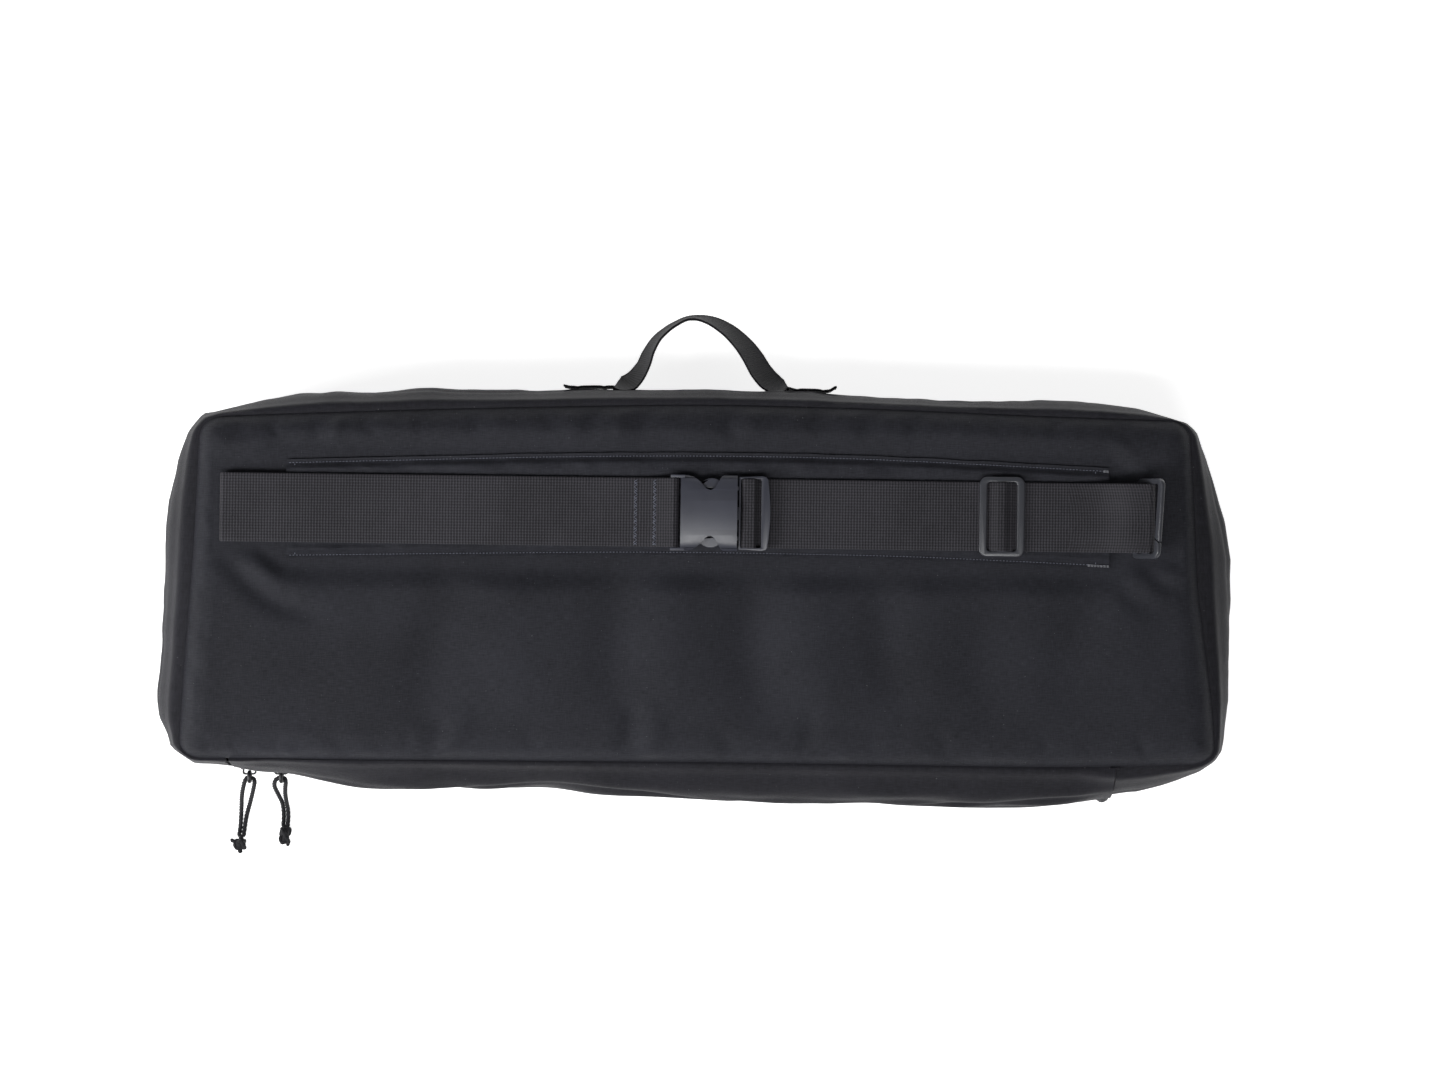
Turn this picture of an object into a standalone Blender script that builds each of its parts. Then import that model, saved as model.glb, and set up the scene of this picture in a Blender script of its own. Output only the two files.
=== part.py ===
"""Long padded carry bag that lies on its back, with a webbing belt buckled round its front.

Metres, +Z up. The origin is the centre of the back panel's underside. +X runs along the bag,
+Y points to the side with the grab handle, and the zip is on the -Y side.
"""

import math

import bmesh
import bpy
from mathutils import Vector

# Driving dimensions
GAP = 0.0003  # left between pieces that touch

DEPTH = 0.100  # underside of the back to the top of the front panel
HALF_WIDTH_TOP = 0.350  # panel seam, handle side
HALF_WIDTH_ZIP = 0.366  # panel seam, zip side
SEAM_Y_TOP = 0.1185
SEAM_Y_ZIP = -0.1235
TOP_ARCH = 0.010  # how far the handle-side seam bows out
CORNER_R = 0.020
CORNER_STEPS = 5
ROLL_DROP = 0.008  # the panel's height above its own seam
ROLL_WIDTH = 0.014
PANEL_T = 0.002
FOAM_T = 0.005
LINING_T = 0.001
GUSSET_T = 0.003
SIDE_BULGE = 0.026
TOP_BULGE = 0.012
LOW_BULGE_LEFT = 0.0115  # zip side of the gusset, by each end of the zip
LOW_BULGE_RIGHT = 0.0240
BINDING_H = 0.010
BINDING_T = 0.0012

ZIP_LEFT = -0.331
ZIP_RIGHT = 0.297
ZIP_Y = SEAM_Y_ZIP - 0.0065
ZIP_Z = 0.036
ZIP_BULGE = 0.0345  # widest part of the strip above the zip
ZIP_GUSSET_LAP = 0.0057  # chain line to the edge of either strip
STRIP_EDGE = 0.0024  # length of either strip that lies flat against its tape
FLAP_LEFT = -0.287
TAPE_T = 0.0008
TAPE_W = 0.0105
COIL_GAP = 0.0020
COIL_W = 0.0026
COIL_T = 0.0024

SLIDER_L = 0.0115
SLIDER_W = 0.0100
SLIDER_PLATE = 0.0014
SLIDER_LIP = 0.0011
SLIDER_POST = 0.0014
SLIDER_LEFT_X = -0.3235
SLIDER_RIGHT_X = -0.3005
SLIDER_END_GAP = 0.002
BRIDGE_H = 0.0042
BRIDGE_W = 0.0030
BRIDGE_T = 0.0012
RING_WIRE_R = 0.00075
RING_W = 0.0078
RING_L = 0.0085
CORD_D = 0.0028
KNOT_R = 0.0066

BELT_Y = 0.0515
BELT_TURN = -0.75  # degrees that the belt lies askew
BELT_W = 0.0485
WEB_T = 0.0015
BELT_LEFT = -0.335
BELT_PLAY = 0.00035  # webbing edge to the buckle's ear
SLEEVE_LEFT = -0.289
SLEEVE_RIGHT = 0.291
SLEEVE_MARGIN_LOW = 0.0105  # belt edge to the sleeve's outer edge, zip side
SLEEVE_MARGIN_HIGH = 0.0120
SLEEVE_T = 0.0010
SLEEVE_HEM = 0.0050
TURN_BACK = 0.032

BUCKLE_LEFT = -0.0105
BUCKLE_RIGHT = 0.0290
EAR_L = 0.0072
EAR_W = 0.0019
BUCKLE_W = BELT_W + 2 * (EAR_W + BELT_PLAY)
BUCKLE_T = 0.0130
BUCKLE_WALL = 0.0016
BUCKLE_R = 0.0028
BAR_INSET = 0.0024  # end of the ears to the middle of the webbing bar
NOTCH_DEPTH = 0.0105
NOTCH_LEFT = -0.0045
NOTCH_RIGHT = 0.0175
MALE_GAP = 0.0012
MALE_L = 0.0215
MALE_T = 0.0052
MALE_SLOT = 0.0064
ARM_T = 0.0042
ARM_W = 0.0030
ARM_ROOT_INSET = 0.0090  # the buckle's long edge to the root of a spring arm

SLIDE_X = 0.215
SLIDE_L = 0.0317
SLIDE_T = 0.0030
SLIDE_BAR = 0.0052
SLIDE_END = 0.0037
SLIDE_W = BELT_W + 2 * (SLIDE_END + GAP)
SLIDE_CENTRE_BAR = 0.0045
SLIDE_TRAVEL = 0.040

GATE_X = 0.3170
GATE_TILT = 62.0  # degrees that the hook slide leans up from flat
GATE_SPLIT = 0.0010
RIGHT_RISE_X = 0.262

HANDLE_X = 0.0028
HANDLE_HALF = 0.0625
HANDLE_W = 0.0250
HANDLE_Z = 0.050
HANDLE_STAND = 0.0028  # middle of the webbing to the gusset, at its ends
SLEEVE_RISE = 0.0025
SLEEVE_PAST = 0.0040
SLIDE_CORNER = 0.0042
SLIDE_EDGE = 0.0007
SPLIT_SHARE = 0.22
SPLIT_SLANT = 0.0050
SOCKET_SKIN = 0.0034
SOCKET_BAR_R = 0.0018
BAR_TURN_R = 0.0030
INSERT_BOW = 0.0012
INSERT_EDGE = 0.0006
INSERT_BAR = 0.0092
TONGUE_W = 0.0090
ARM_LIFT = 0.0004
HANDLE_LEAN = 10.0
HANDLE_TWIST = 25.0
TAB_INSET = 0.0045
TAB_GAP = 0.0004
CUTTER_PAST = 0.0020
HANDLE_REACH = 0.0510
HANDLE_DROOP = 0.014
TAB_LENGTH = 0.031

# Levels worked out from the sizes above
SEAM_Z = DEPTH - ROLL_DROP
SEAM_Z_BACK = ROLL_DROP
BACK_RUN_Z = DEPTH + GAP
SLEEVE_Z = BACK_RUN_Z + WEB_T + GAP
LOWER_Z = SLEEVE_Z + SLEEVE_T + GAP
UPPER_Z = LOWER_Z + WEB_T + GAP
MALE_Z = UPPER_Z + WEB_T + GAP
GUSSET_Y_TOP = SEAM_Y_TOP + TOP_ARCH
HANDLE_Y = GUSSET_Y_TOP + TOP_BULGE

PLACES = {}  # where each axis is drawn, before the belt's turn

COLOURS = {
    "shell": ((0.028, 0.028, 0.035), 0.85, 0.0),
    "foam": ((0.20, 0.20, 0.21), 0.95, 0.0),
    "lining": ((0.045, 0.046, 0.052), 0.80, 0.0),
    "binding": ((0.020, 0.020, 0.022), 0.90, 0.0),
    "webbing": ((0.045, 0.042, 0.043), 0.80, 0.0),
    "tape": ((0.022, 0.022, 0.024), 0.85, 0.0),
    "coil": ((0.016, 0.016, 0.018), 0.45, 0.0),
    "slider": ((0.020, 0.020, 0.022), 0.35, 0.8),
    "cord": ((0.016, 0.016, 0.018), 0.80, 0.0),
    "plastic": ((0.050, 0.052, 0.062), 0.38, 0.0),
}


def clear_scene():
    for obj in list(bpy.data.objects):
        bpy.data.objects.remove(obj, do_unlink=True)


def material(name):
    colour, roughness, metallic = COLOURS[name]
    found = bpy.data.materials.get(name)
    if found:
        return found
    made = bpy.data.materials.new(name)
    made.use_nodes = True
    shader = made.node_tree.nodes["Principled BSDF"]
    shader.inputs["Base Color"].default_value = (*colour, 1.0)
    shader.inputs["Roughness"].default_value = roughness
    shader.inputs["Metallic"].default_value = metallic
    return made


def add_object(name, bm, finish, parent=None):
    """Turns a bmesh, drawn before the belt's turn, into a named object that hangs from its parent's axis."""
    bmesh.ops.recalc_face_normals(bm, faces=bm.faces)
    mesh = bpy.data.meshes.new(name)
    if parent:
        bmesh.ops.translate(bm, verts=bm.verts, vec=-PLACES[parent.name])
    bm.to_mesh(mesh)
    bm.free()
    mesh.materials.append(material(finish))
    obj = bpy.data.objects.new(name, mesh)
    bpy.context.scene.collection.objects.link(obj)
    obj.parent = parent
    return obj


def axis_empty(name, location, parent=None):
    """An empty on a joint's axis, which the joint's pieces hang from."""
    empty = bpy.data.objects.new(name, None)
    PLACES[name] = Vector(location)
    empty.parent = parent
    empty.location = PLACES[name] - (PLACES[parent.name] if parent else Vector())
    bpy.context.scene.collection.objects.link(empty)
    return empty


def loft(rings):
    """Skins closed rings of equal length and caps the first and the last."""
    bm = bmesh.new()
    rows = [[bm.verts.new(point) for point in ring] for ring in rings]
    count = len(rows[0])
    for row, following in zip(rows, rows[1:]):
        for i in range(count):
            j = (i + 1) % count
            bm.faces.new((row[i], row[j], following[j], following[i]))
    bm.faces.new(rows[0])
    bm.faces.new(rows[-1])
    return bm


def closed_loft(rings):
    """Skins rings and joins the last back to the first, as for a frame or a hoop."""
    bm = bmesh.new()
    rows = [[bm.verts.new(point) for point in ring] for ring in rings]
    count = len(rows[0])
    for k, row in enumerate(rows):
        following = rows[(k + 1) % len(rows)]
        for i in range(count):
            j = (i + 1) % count
            bm.faces.new((row[i], row[j], following[j], following[i]))
    return bm


def extrude_profile(profile, start, end, place):
    """Extrudes a closed 2D profile; place(u, v, w) gives the 3D point at distance w along it."""
    return loft([[place(u, v, w) for u, v in profile] for w in (start, end)])


def along_x(u, v, w):
    return (w, u, v)


def along_y(u, v, w):
    return (u, w, v)


def along_z(u, v, w):
    return (u, v, w)


def box(low, high):
    profile = [(low[0], low[1]), (high[0], low[1]), (high[0], high[1]), (low[0], high[1])]
    return extrude_profile(profile, low[2], high[2], along_z)


def side_word(side):
    return "low" if side < 0 else "high"


def bevelled(obj, width, segments=1, angle=50.0):
    mod = obj.modifiers.new("edge_bevel", "BEVEL")
    mod.width = width
    mod.segments = segments
    mod.limit_method = "ANGLE"
    mod.angle_limit = math.radians(angle)
    return obj


def boolean(obj, cutter, operation="DIFFERENCE"):
    cutter.hide_render = True
    cutter.display_type = "WIRE"
    mod = obj.modifiers.new(operation.lower(), "BOOLEAN")
    mod.operation = operation
    mod.object = cutter
    return obj


def arc(cx, cy, radius, start, end, steps):
    """Points on a circle from one angle to another, in degrees."""
    points = []
    for i in range(steps + 1):
        angle = math.radians(start + (end - start) * i / steps)
        points.append((cx + radius * math.cos(angle), cy + radius * math.sin(angle)))
    return points


def thick_path(points, thickness):
    """A closed profile that follows an open 2D path at half a thickness on each side."""
    left, right = [], []
    for i, point in enumerate(points):
        before = Vector(points[max(i - 1, 0)])
        after = Vector(points[min(i + 1, len(points) - 1)])
        here = Vector(point)
        ahead = (after - here).normalized() if i < len(points) - 1 else (here - before).normalized()
        behind = (here - before).normalized() if i else ahead
        tangent = (ahead + behind).normalized()
        normal = Vector((-tangent.y, tangent.x))
        reach = thickness / 2 / max(0.5, normal.dot(Vector((-ahead.y, ahead.x))))
        left.append(tuple(here + normal * reach))
        right.append(tuple(here - normal * reach))
    return left + right[::-1]


# The panels' outline


def top_bow(x):
    """How far the handle-side seam bows out at this place along the bag."""
    return TOP_ARCH * max(0.0, 1 - (x / (HALF_WIDTH_TOP - CORNER_R)) ** 2)


def outline(inset=0.0):
    """The seam line round a panel as (x, y, normal x, normal y), from the zip side's left end, anticlockwise."""
    lean = math.atan2(HALF_WIDTH_ZIP - HALF_WIDTH_TOP, SEAM_Y_TOP - SEAM_Y_ZIP)
    tilt = math.degrees(lean)
    r = CORNER_R
    low_y = SEAM_Y_ZIP + r
    high_y = SEAM_Y_TOP - r
    low_x = HALF_WIDTH_ZIP - r
    high_x = HALF_WIDTH_TOP - r
    corners = (
        ((low_x, low_y), -90, tilt),
        ((high_x, high_y), tilt, 90),
        ((-high_x, high_y), 90, 180 - tilt),
        ((-low_x, low_y), 180 - tilt, 270),
    )
    points = []
    for index, (centre, start, end) in enumerate(corners):
        for i in range(CORNER_STEPS + 1):
            angle = math.radians(start + (end - start) * i / CORNER_STEPS)
            nx, ny = math.cos(angle), math.sin(angle)
            points.append((centre[0] + r * nx, centre[1] + r * ny, nx, ny))
        if index in (0, 2):
            x0, y0, nx, ny = points[-1]
            target = corners[index + 1][0]
            angle = math.radians(corners[index + 1][1])
            x1 = target[0] + r * math.cos(angle)
            y1 = target[1] + r * math.sin(angle)
            for t in (0.25, 0.5, 0.75):
                points.append((x0 + (x1 - x0) * t, y0 + (y1 - y0) * t, nx, ny))
        else:
            for t in (-0.75, -0.5, -0.25, 0.0, 0.25, 0.5, 0.75):
                if index == 1:
                    x = -t * high_x
                    points.append((x, SEAM_Y_TOP + top_bow(x), 0.0, 1.0))
                else:
                    points.append((t * low_x, SEAM_Y_ZIP, 0.0, -1.0))
    return [(x - nx * inset, y - ny * inset, nx, ny) for x, y, nx, ny in points]


def outline_ring(inset, z):
    return [(x, y, z) for x, y, _, _ in outline(inset)]


def panel_skin(name, seam_z, face_z):
    """A panel's outer fabric: flat in the middle and rolled down to its seam at the edge."""
    side = 1 if face_z > seam_z else -1
    rings = [
        outline_ring(ROLL_WIDTH, face_z - side * PANEL_T),
        outline_ring(0.0, seam_z),
        outline_ring(0.0, seam_z + side * PANEL_T),
        outline_ring(ROLL_WIDTH * 0.35, face_z - side * ROLL_DROP * 0.22),
        outline_ring(ROLL_WIDTH, face_z),
    ]
    return add_object(name, loft(rings), "shell")


def plate(name, inset, low, high, finish):
    return add_object(name, loft([outline_ring(inset, low), outline_ring(inset, high)]), finish)


def build_panels():
    front_under = DEPTH - PANEL_T - GAP
    panel_skin("front_panel", SEAM_Z, DEPTH)
    plate("front_foam", ROLL_WIDTH + 0.002, front_under - FOAM_T, front_under, "foam")
    lining_top = front_under - FOAM_T - GAP
    lining_inset = GUSSET_T + BINDING_T + 3 * GAP
    plate("front_lining", lining_inset, lining_top - LINING_T, lining_top, "lining")
    panel_skin("back_panel", SEAM_Z_BACK, 0.0)
    back_over = PANEL_T + GAP
    plate("back_foam", ROLL_WIDTH + 0.002, back_over, back_over + FOAM_T, "foam")
    lining_low = back_over + FOAM_T + GAP
    plate("back_lining", lining_inset, lining_low, lining_low + LINING_T, "lining")
    build_binding("front_seam_binding", SEAM_Z - GAP - BINDING_H, SEAM_Z - GAP)
    build_binding("back_seam_binding", SEAM_Z_BACK + GAP, SEAM_Z_BACK + GAP + BINDING_H)


def build_binding(name, low, high):
    """The tape that covers the seam allowance inside the bag."""
    near = GUSSET_T + GAP
    far = near + BINDING_T
    rings = [
        outline_ring(near, low),
        outline_ring(near, high),
        outline_ring(far, high),
        outline_ring(far, low),
    ]
    add_object(name, closed_loft(rings), "binding")


# The gusset


def station_bulge(x, y, nx, ny):
    """How far the gusset swells past its seams at a place round the bag."""
    side_share = nx * nx
    low = LOW_BULGE_RIGHT if x > 0 else LOW_BULGE_LEFT
    lengthwise = TOP_BULGE if ny > 0 else low
    middle = math.cos(y / (SEAM_Y_TOP - SEAM_Y_ZIP) * math.pi * 0.72)
    side = SIDE_BULGE * (0.5 + 0.5 * middle)
    return side_share * side + (1 - side_share) * lengthwise


def gusset_band(name, stations):
    """A strip of padded fabric between the two panel seams, bowed outwards."""
    steps = 6
    low = SEAM_Z_BACK + GAP
    high = SEAM_Z - GAP
    rings = []
    for x, y, nx, ny in stations:
        bulge = station_bulge(x, y, nx, ny)
        outer, inner = [], []
        for k in range(steps + 1):
            t = k / steps
            swell = bulge * math.sin(math.pi * t) ** 0.7
            z = high + (low - high) * t
            outer.append((x + nx * swell, y + ny * swell, z))
            inner.append((x + nx * (swell - GUSSET_T), y + ny * (swell - GUSSET_T), z))
        rings.append(outer + inner[::-1])
    add_object(name, loft(rings), "shell")


def between(first, second, share):
    """A station part of the way from one to the next."""
    values = [a + (b - a) * share for a, b in zip(first, second)]
    length = math.hypot(values[2], values[3])
    return (values[0], values[1], values[2] / length, values[3] / length)


def build_gusset():
    """Left, handle-side and right lengths of the main gusset, mitred at the upper corners."""
    points = outline()
    n = CORNER_STEPS + 1
    corner_right_low = points[0:n]
    side_right = points[n:n + 3]
    corner_right_high = points[n + 3:2 * n + 3]
    top = points[2 * n + 3:2 * n + 10]
    corner_left_high = points[2 * n + 10:3 * n + 10]
    side_left = points[3 * n + 10:3 * n + 13]
    corner_left_low = points[3 * n + 13:4 * n + 13]
    half = n // 2
    mitre = GAP / 2 / CORNER_R
    right_cut = between(corner_right_high[half - 1], corner_right_high[half], 0.5 - mitre)
    right_next = between(corner_right_high[half - 1], corner_right_high[half], 0.5 + 8 * mitre)
    left_cut = between(corner_left_high[half - 1], corner_left_high[half], 0.5 - mitre)
    left_next = between(corner_left_high[half - 1], corner_left_high[half], 0.5 + 8 * mitre)
    zip_start = (ZIP_RIGHT + GAP, SEAM_Y_ZIP, 0.0, -1.0)
    zip_finish = (ZIP_LEFT - GAP, SEAM_Y_ZIP, 0.0, -1.0)
    right = [zip_start] + corner_right_low + side_right + corner_right_high[:half] + [right_cut]
    handle_side = [right_next] + corner_right_high[half:] + top + corner_left_high[:half] + [left_cut]
    left = [left_next] + corner_left_high[half:] + side_left + corner_left_low + [zip_finish]
    gusset_band("right_gusset", right)
    gusset_band("top_gusset", handle_side)
    gusset_band("left_gusset", left)


# The zip side


def zip_swell(x):
    """The strip above the zip stands out most past the middle of the bag and least by its ends."""
    along = min(1.0, max(0.0, (x - ZIP_LEFT) / (ZIP_RIGHT - ZIP_LEFT)))
    rise = math.sin(math.pi / 2 * min(1.0, along / 0.8))
    fall = (max(0.0, along - 0.85) / 0.15) ** 2
    return LOW_BULGE_LEFT + (ZIP_BULGE - LOW_BULGE_LEFT) * rise - (ZIP_BULGE - LOW_BULGE_RIGHT) * fall


def strip_rings(left, right, profile_at, stations):
    rings = []
    for i in range(stations + 1):
        x = left + (right - left) * i / stations
        rings.append([(x, y, z) for y, z in thick_path(profile_at(x), GUSSET_T - 2 * GAP)])
    return rings


def front_strip_profile(x):
    """From the front seam, out over the bulge and in again to the zip."""
    swell = zip_swell(x)
    edge_z = ZIP_Z + ZIP_GUSSET_LAP
    edge_y = ZIP_Y - TAPE_T / 2 - GAP - GUSSET_T / 2
    seam = SEAM_Z - GAP - 0.0012
    seam_y = SEAM_Y_ZIP + GUSSET_T / 2
    span = seam - edge_z
    return [
        (seam_y, seam),
        (seam_y - swell * 0.55, seam - span * 0.20),
        (seam_y - swell * 0.93, seam - span * 0.42),
        (seam_y - swell, seam - span * 0.66),
        (min(seam_y - swell * 0.86, edge_y), seam - span * 0.84),
        (edge_y, edge_z + STRIP_EDGE),
        (edge_y, edge_z),
    ]


def rear_strip_profile(x):
    """From the zip down to the back seam."""
    edge_y = ZIP_Y - TAPE_T / 2 - GAP - GUSSET_T / 2
    seam_y = SEAM_Y_ZIP + GUSSET_T / 2
    seam = SEAM_Z_BACK + GAP + 0.0012
    edge_z = ZIP_Z - ZIP_GUSSET_LAP
    return [
        (edge_y, edge_z),
        (edge_y - 0.0008, edge_z - 0.008),
        (edge_y + 0.0035, edge_z - 0.016),
        (seam_y, seam),
    ]


def tape(name, left, right, side, parent=None):
    """One zip tape: a thin band from the coil in under its strip."""
    near = ZIP_Z + side * (COIL_GAP / 2 + COIL_W + GAP)
    far = ZIP_Z + side * (COIL_GAP / 2 + COIL_W + TAPE_W)
    low, high = min(near, far), max(near, far)
    bm = box((left, ZIP_Y - TAPE_T / 2, low), (right, ZIP_Y + TAPE_T / 2, high))
    add_object(name, bm, "tape", parent)


def coil(name, left, right, side, parent=None):
    near = ZIP_Z + side * COIL_GAP / 2
    far = ZIP_Z + side * (COIL_GAP / 2 + COIL_W)
    low, high = min(near, far), max(near, far)
    bm = box((left, ZIP_Y - COIL_T / 2, low), (right, ZIP_Y + COIL_T / 2, high))
    add_object(name, bm, "coil", parent)


def build_zip_gusset():
    flap_right = ZIP_RIGHT - SLIDER_END_GAP - SLIDER_L - 0.004
    hinge = axis_empty("mouth_flap_axis", (0.0, SEAM_Y_ZIP, SEAM_Z))
    flap = strip_rings(FLAP_LEFT, flap_right, front_strip_profile, 14)
    add_object("zip_gusset_front", loft(flap), "shell", hinge)
    left_end = strip_rings(ZIP_LEFT + GAP, FLAP_LEFT - 2 * GAP, front_strip_profile, 2)
    add_object("zip_gusset_left_end", loft(left_end), "shell")
    right_end = strip_rings(flap_right + 2 * GAP, ZIP_RIGHT - GAP, front_strip_profile, 2)
    add_object("zip_gusset_right_end", loft(right_end), "shell")
    rear = strip_rings(ZIP_LEFT + GAP, ZIP_RIGHT - GAP, rear_strip_profile, 6)
    add_object("zip_gusset_rear", loft(rear), "shell")
    tape("zip_tape_front", FLAP_LEFT, flap_right, 1, hinge)
    tape("zip_tape_left_end", ZIP_LEFT + GAP, FLAP_LEFT - 2 * GAP, 1)
    tape("zip_tape_right_end", flap_right + 2 * GAP, ZIP_RIGHT - GAP, 1)
    tape("zip_tape_rear", ZIP_LEFT + GAP, ZIP_RIGHT - GAP, -1)
    coil("zip_coil_front", FLAP_LEFT, flap_right, 1, hinge)
    coil("zip_coil_rear", ZIP_LEFT + GAP, ZIP_RIGHT - GAP, -1)
    coil("zip_coil_left_end", ZIP_LEFT + GAP, FLAP_LEFT - 2 * GAP, 1)
    coil("zip_coil_right_end", flap_right + 2 * GAP, ZIP_RIGHT - GAP, 1)


def slider_profile():
    """The slider seen end-on: two lipped plates joined by a post that runs between the two coils."""
    half = SLIDER_W / 2
    post = SLIDER_POST / 2
    reach = COIL_T / 2 + 0.0005
    outer = reach + SLIDER_PLATE
    lip = reach - SLIDER_LIP + 0.0002
    edge = half - 0.0009
    right = [(-outer, half), (-lip, half), (-lip, edge), (-reach, edge), (-reach, post)]
    across = [(reach, post), (reach, edge), (lip, edge), (lip, half), (outer, half)]
    upper = right + across
    lower = [(u, -v) for u, v in upper[::-1]]
    return [(ZIP_Y + u, ZIP_Z + v) for u, v in upper + lower]


def build_slider(side_name, x):
    """A zip slider with a bridge on its face, the ring that hangs from it, and the cord and knot on the ring."""
    start, end = x - SLIDER_L / 2, x + SLIDER_L / 2
    carriage = axis_empty(f"slider_{side_name}_axis", (x, ZIP_Y, ZIP_Z))
    body = add_object(
        f"slider_{side_name}", extrude_profile(slider_profile(), start, end, along_x), "slider", carriage
    )
    face = ZIP_Y - COIL_T / 2 - 0.0005 - SLIDER_PLATE
    foot = face + 0.0006
    top = face - BRIDGE_H
    reach = SLIDER_L / 2 - 0.0008
    arch = [
        (x - reach, foot), (x - reach, top + 0.0010), (x - reach + 0.0014, top),
        (x + reach - 0.0014, top), (x + reach, top + 0.0010), (x + reach, foot),
        (x + reach - BRIDGE_T, foot), (x + reach - BRIDGE_T, top + BRIDGE_T + 0.0006),
        (x + reach - BRIDGE_T - 0.0008, top + BRIDGE_T), (x - reach + BRIDGE_T + 0.0008, top + BRIDGE_T),
        (x - reach + BRIDGE_T, top + BRIDGE_T + 0.0006), (x - reach + BRIDGE_T, foot),
    ]
    half = BRIDGE_W / 2
    bridge = add_object(
        f"slider_{side_name}_bridge_tool",
        extrude_profile(arch, ZIP_Z - half, ZIP_Z + half, along_z),
        "slider",
        carriage,
    )
    boolean(body, bridge, "UNION")
    pin_y = face - (BRIDGE_H - BRIDGE_T) / 2
    return x, pin_y, ZIP_Z


def smooth_route(points, spacing):
    """Points at an even spacing along a Catmull-Rom curve through a hand-chosen route."""
    knots = [Vector(p) for p in points]
    knots = [knots[0] * 2 - knots[1]] + knots + [knots[-1] * 2 - knots[-2]]
    dense = []
    for a, b, c, d in zip(knots, knots[1:], knots[2:], knots[3:]):
        for i in range(24):
            t = i / 24
            dense.append(
                0.5 * ((2 * b) + (c - a) * t + (2 * a - 5 * b + 4 * c - d) * t * t
                       + (3 * b - a - 3 * c + d) * t * t * t)
            )
    dense.append(knots[-2])
    total = sum((q - p).length for p, q in zip(dense, dense[1:]))
    count = max(2, round(total / spacing))
    step = total / count
    out, run, wanted = [dense[0]], 0.0, step
    for p, q in zip(dense, dense[1:]):
        length = (q - p).length
        while run + length >= wanted - 1e-9 and len(out) < count:
            out.append(p.lerp(q, (wanted - run) / length))
            wanted += step
        run += length
    return out + [dense[-1]]


def tube(name, route, radius, finish, parent, spacing, cyclic=False, resolution=2):
    """A round cord or wire as a curve object with filled ends."""
    curve = bpy.data.curves.new(name, "CURVE")
    curve.dimensions = "3D"
    curve.bevel_depth = radius
    curve.bevel_resolution = resolution
    curve.use_fill_caps = not cyclic
    points = smooth_route(route, spacing) if spacing else [Vector(p) for p in route]
    spline = curve.splines.new("POLY")
    spline.points.add(len(points) - 1)
    for point, place in zip(spline.points, points):
        point.co = (*(place - PLACES[parent.name]), 1.0)
    spline.use_cyclic_u = cyclic
    curve.materials.append(material(finish))
    obj = bpy.data.objects.new(name, curve)
    bpy.context.scene.collection.objects.link(obj)
    obj.parent = parent
    return obj


def ring_points(pin):
    """A flattened loop of wire whose near side is the pin through the bridge."""
    x, y, z = pin
    half = RING_W / 2
    near = y
    far = y - RING_L
    rise = 0.0024
    return [
        (x, near, z + half - rise), (x, near - rise * 0.5, z + half), (x, far + rise, z + half * 0.8),
        (x, far, z + half * 0.35), (x, far, z - half * 0.35), (x, far + rise, z - half * 0.8),
        (x, near - rise * 0.5, z - half), (x, near, z - half + rise),
    ]


# Each pull is a cord doubled through its ring: two legs that start back to back inside it and end in the knot.
CORD_ROUTES = {
    "left_outer": (
        (-0.32380, -0.1398, 0.0362), (-0.32570, -0.1398, 0.0362), (-0.32730, -0.1425, 0.0347),
        (-0.32980, -0.1490, 0.0272), (-0.33180, -0.1555, 0.0180), (-0.33320, -0.1625, 0.0092),
        (-0.33430, -0.1700, 0.0034), (-0.33500, -0.1780, 0.0020), (-0.33560, -0.1850, 0.0046),
    ),
    "left_inner": (
        (-0.32320, -0.1398, 0.0362), (-0.32130, -0.1398, 0.0362), (-0.32020, -0.1425, 0.0343),
        (-0.32230, -0.1490, 0.0262), (-0.32500, -0.1560, 0.0172), (-0.32800, -0.1635, 0.0088),
        (-0.33040, -0.1705, 0.0034), (-0.33170, -0.1780, 0.0020), (-0.33230, -0.1850, 0.0046),
    ),
    "right_outer": (
        (-0.30080, -0.1398, 0.0362), (-0.30290, -0.1398, 0.0362), (-0.30540, -0.1422, 0.0345),
        (-0.30640, -0.1465, 0.0285), (-0.30500, -0.1525, 0.0202), (-0.30340, -0.1590, 0.0110),
        (-0.30310, -0.1650, 0.0046), (-0.30310, -0.1715, 0.0024), (-0.30330, -0.1778, 0.0046),
    ),
    "right_inner": (
        (-0.30020, -0.1398, 0.0362), (-0.29830, -0.1398, 0.0362), (-0.29770, -0.1428, 0.0340),
        (-0.29890, -0.1478, 0.0270), (-0.29980, -0.1535, 0.0190), (-0.30000, -0.1595, 0.0105),
        (-0.29980, -0.1650, 0.0044), (-0.29980, -0.1715, 0.0024), (-0.30000, -0.1778, 0.0046),
    ),
}
KNOT_PLACES = {"left": (-0.3343, -0.1916, 0.0069), "right": (-0.3018, -0.1844, 0.0069)}


def build_knot(side_name, parent):
    """A two-pass stopper knot: a lumpy ball with a waist between its turns."""
    bm = bmesh.new()
    bmesh.ops.create_icosphere(bm, subdivisions=2, radius=KNOT_R)
    for vert in bm.verts:
        direction = vert.co.normalized()
        lump = 1 + 0.05 * math.sin(direction.x * 7 + direction.z * 4) - 0.04 * math.cos(direction.y * 9)
        vert.co = Vector((direction.x * 0.90, direction.y * 0.86, direction.z)) * KNOT_R * lump
    bmesh.ops.translate(bm, verts=bm.verts, vec=KNOT_PLACES[side_name])
    add_object(f"pull_knot_{side_name}", bm, "cord", parent)


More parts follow.
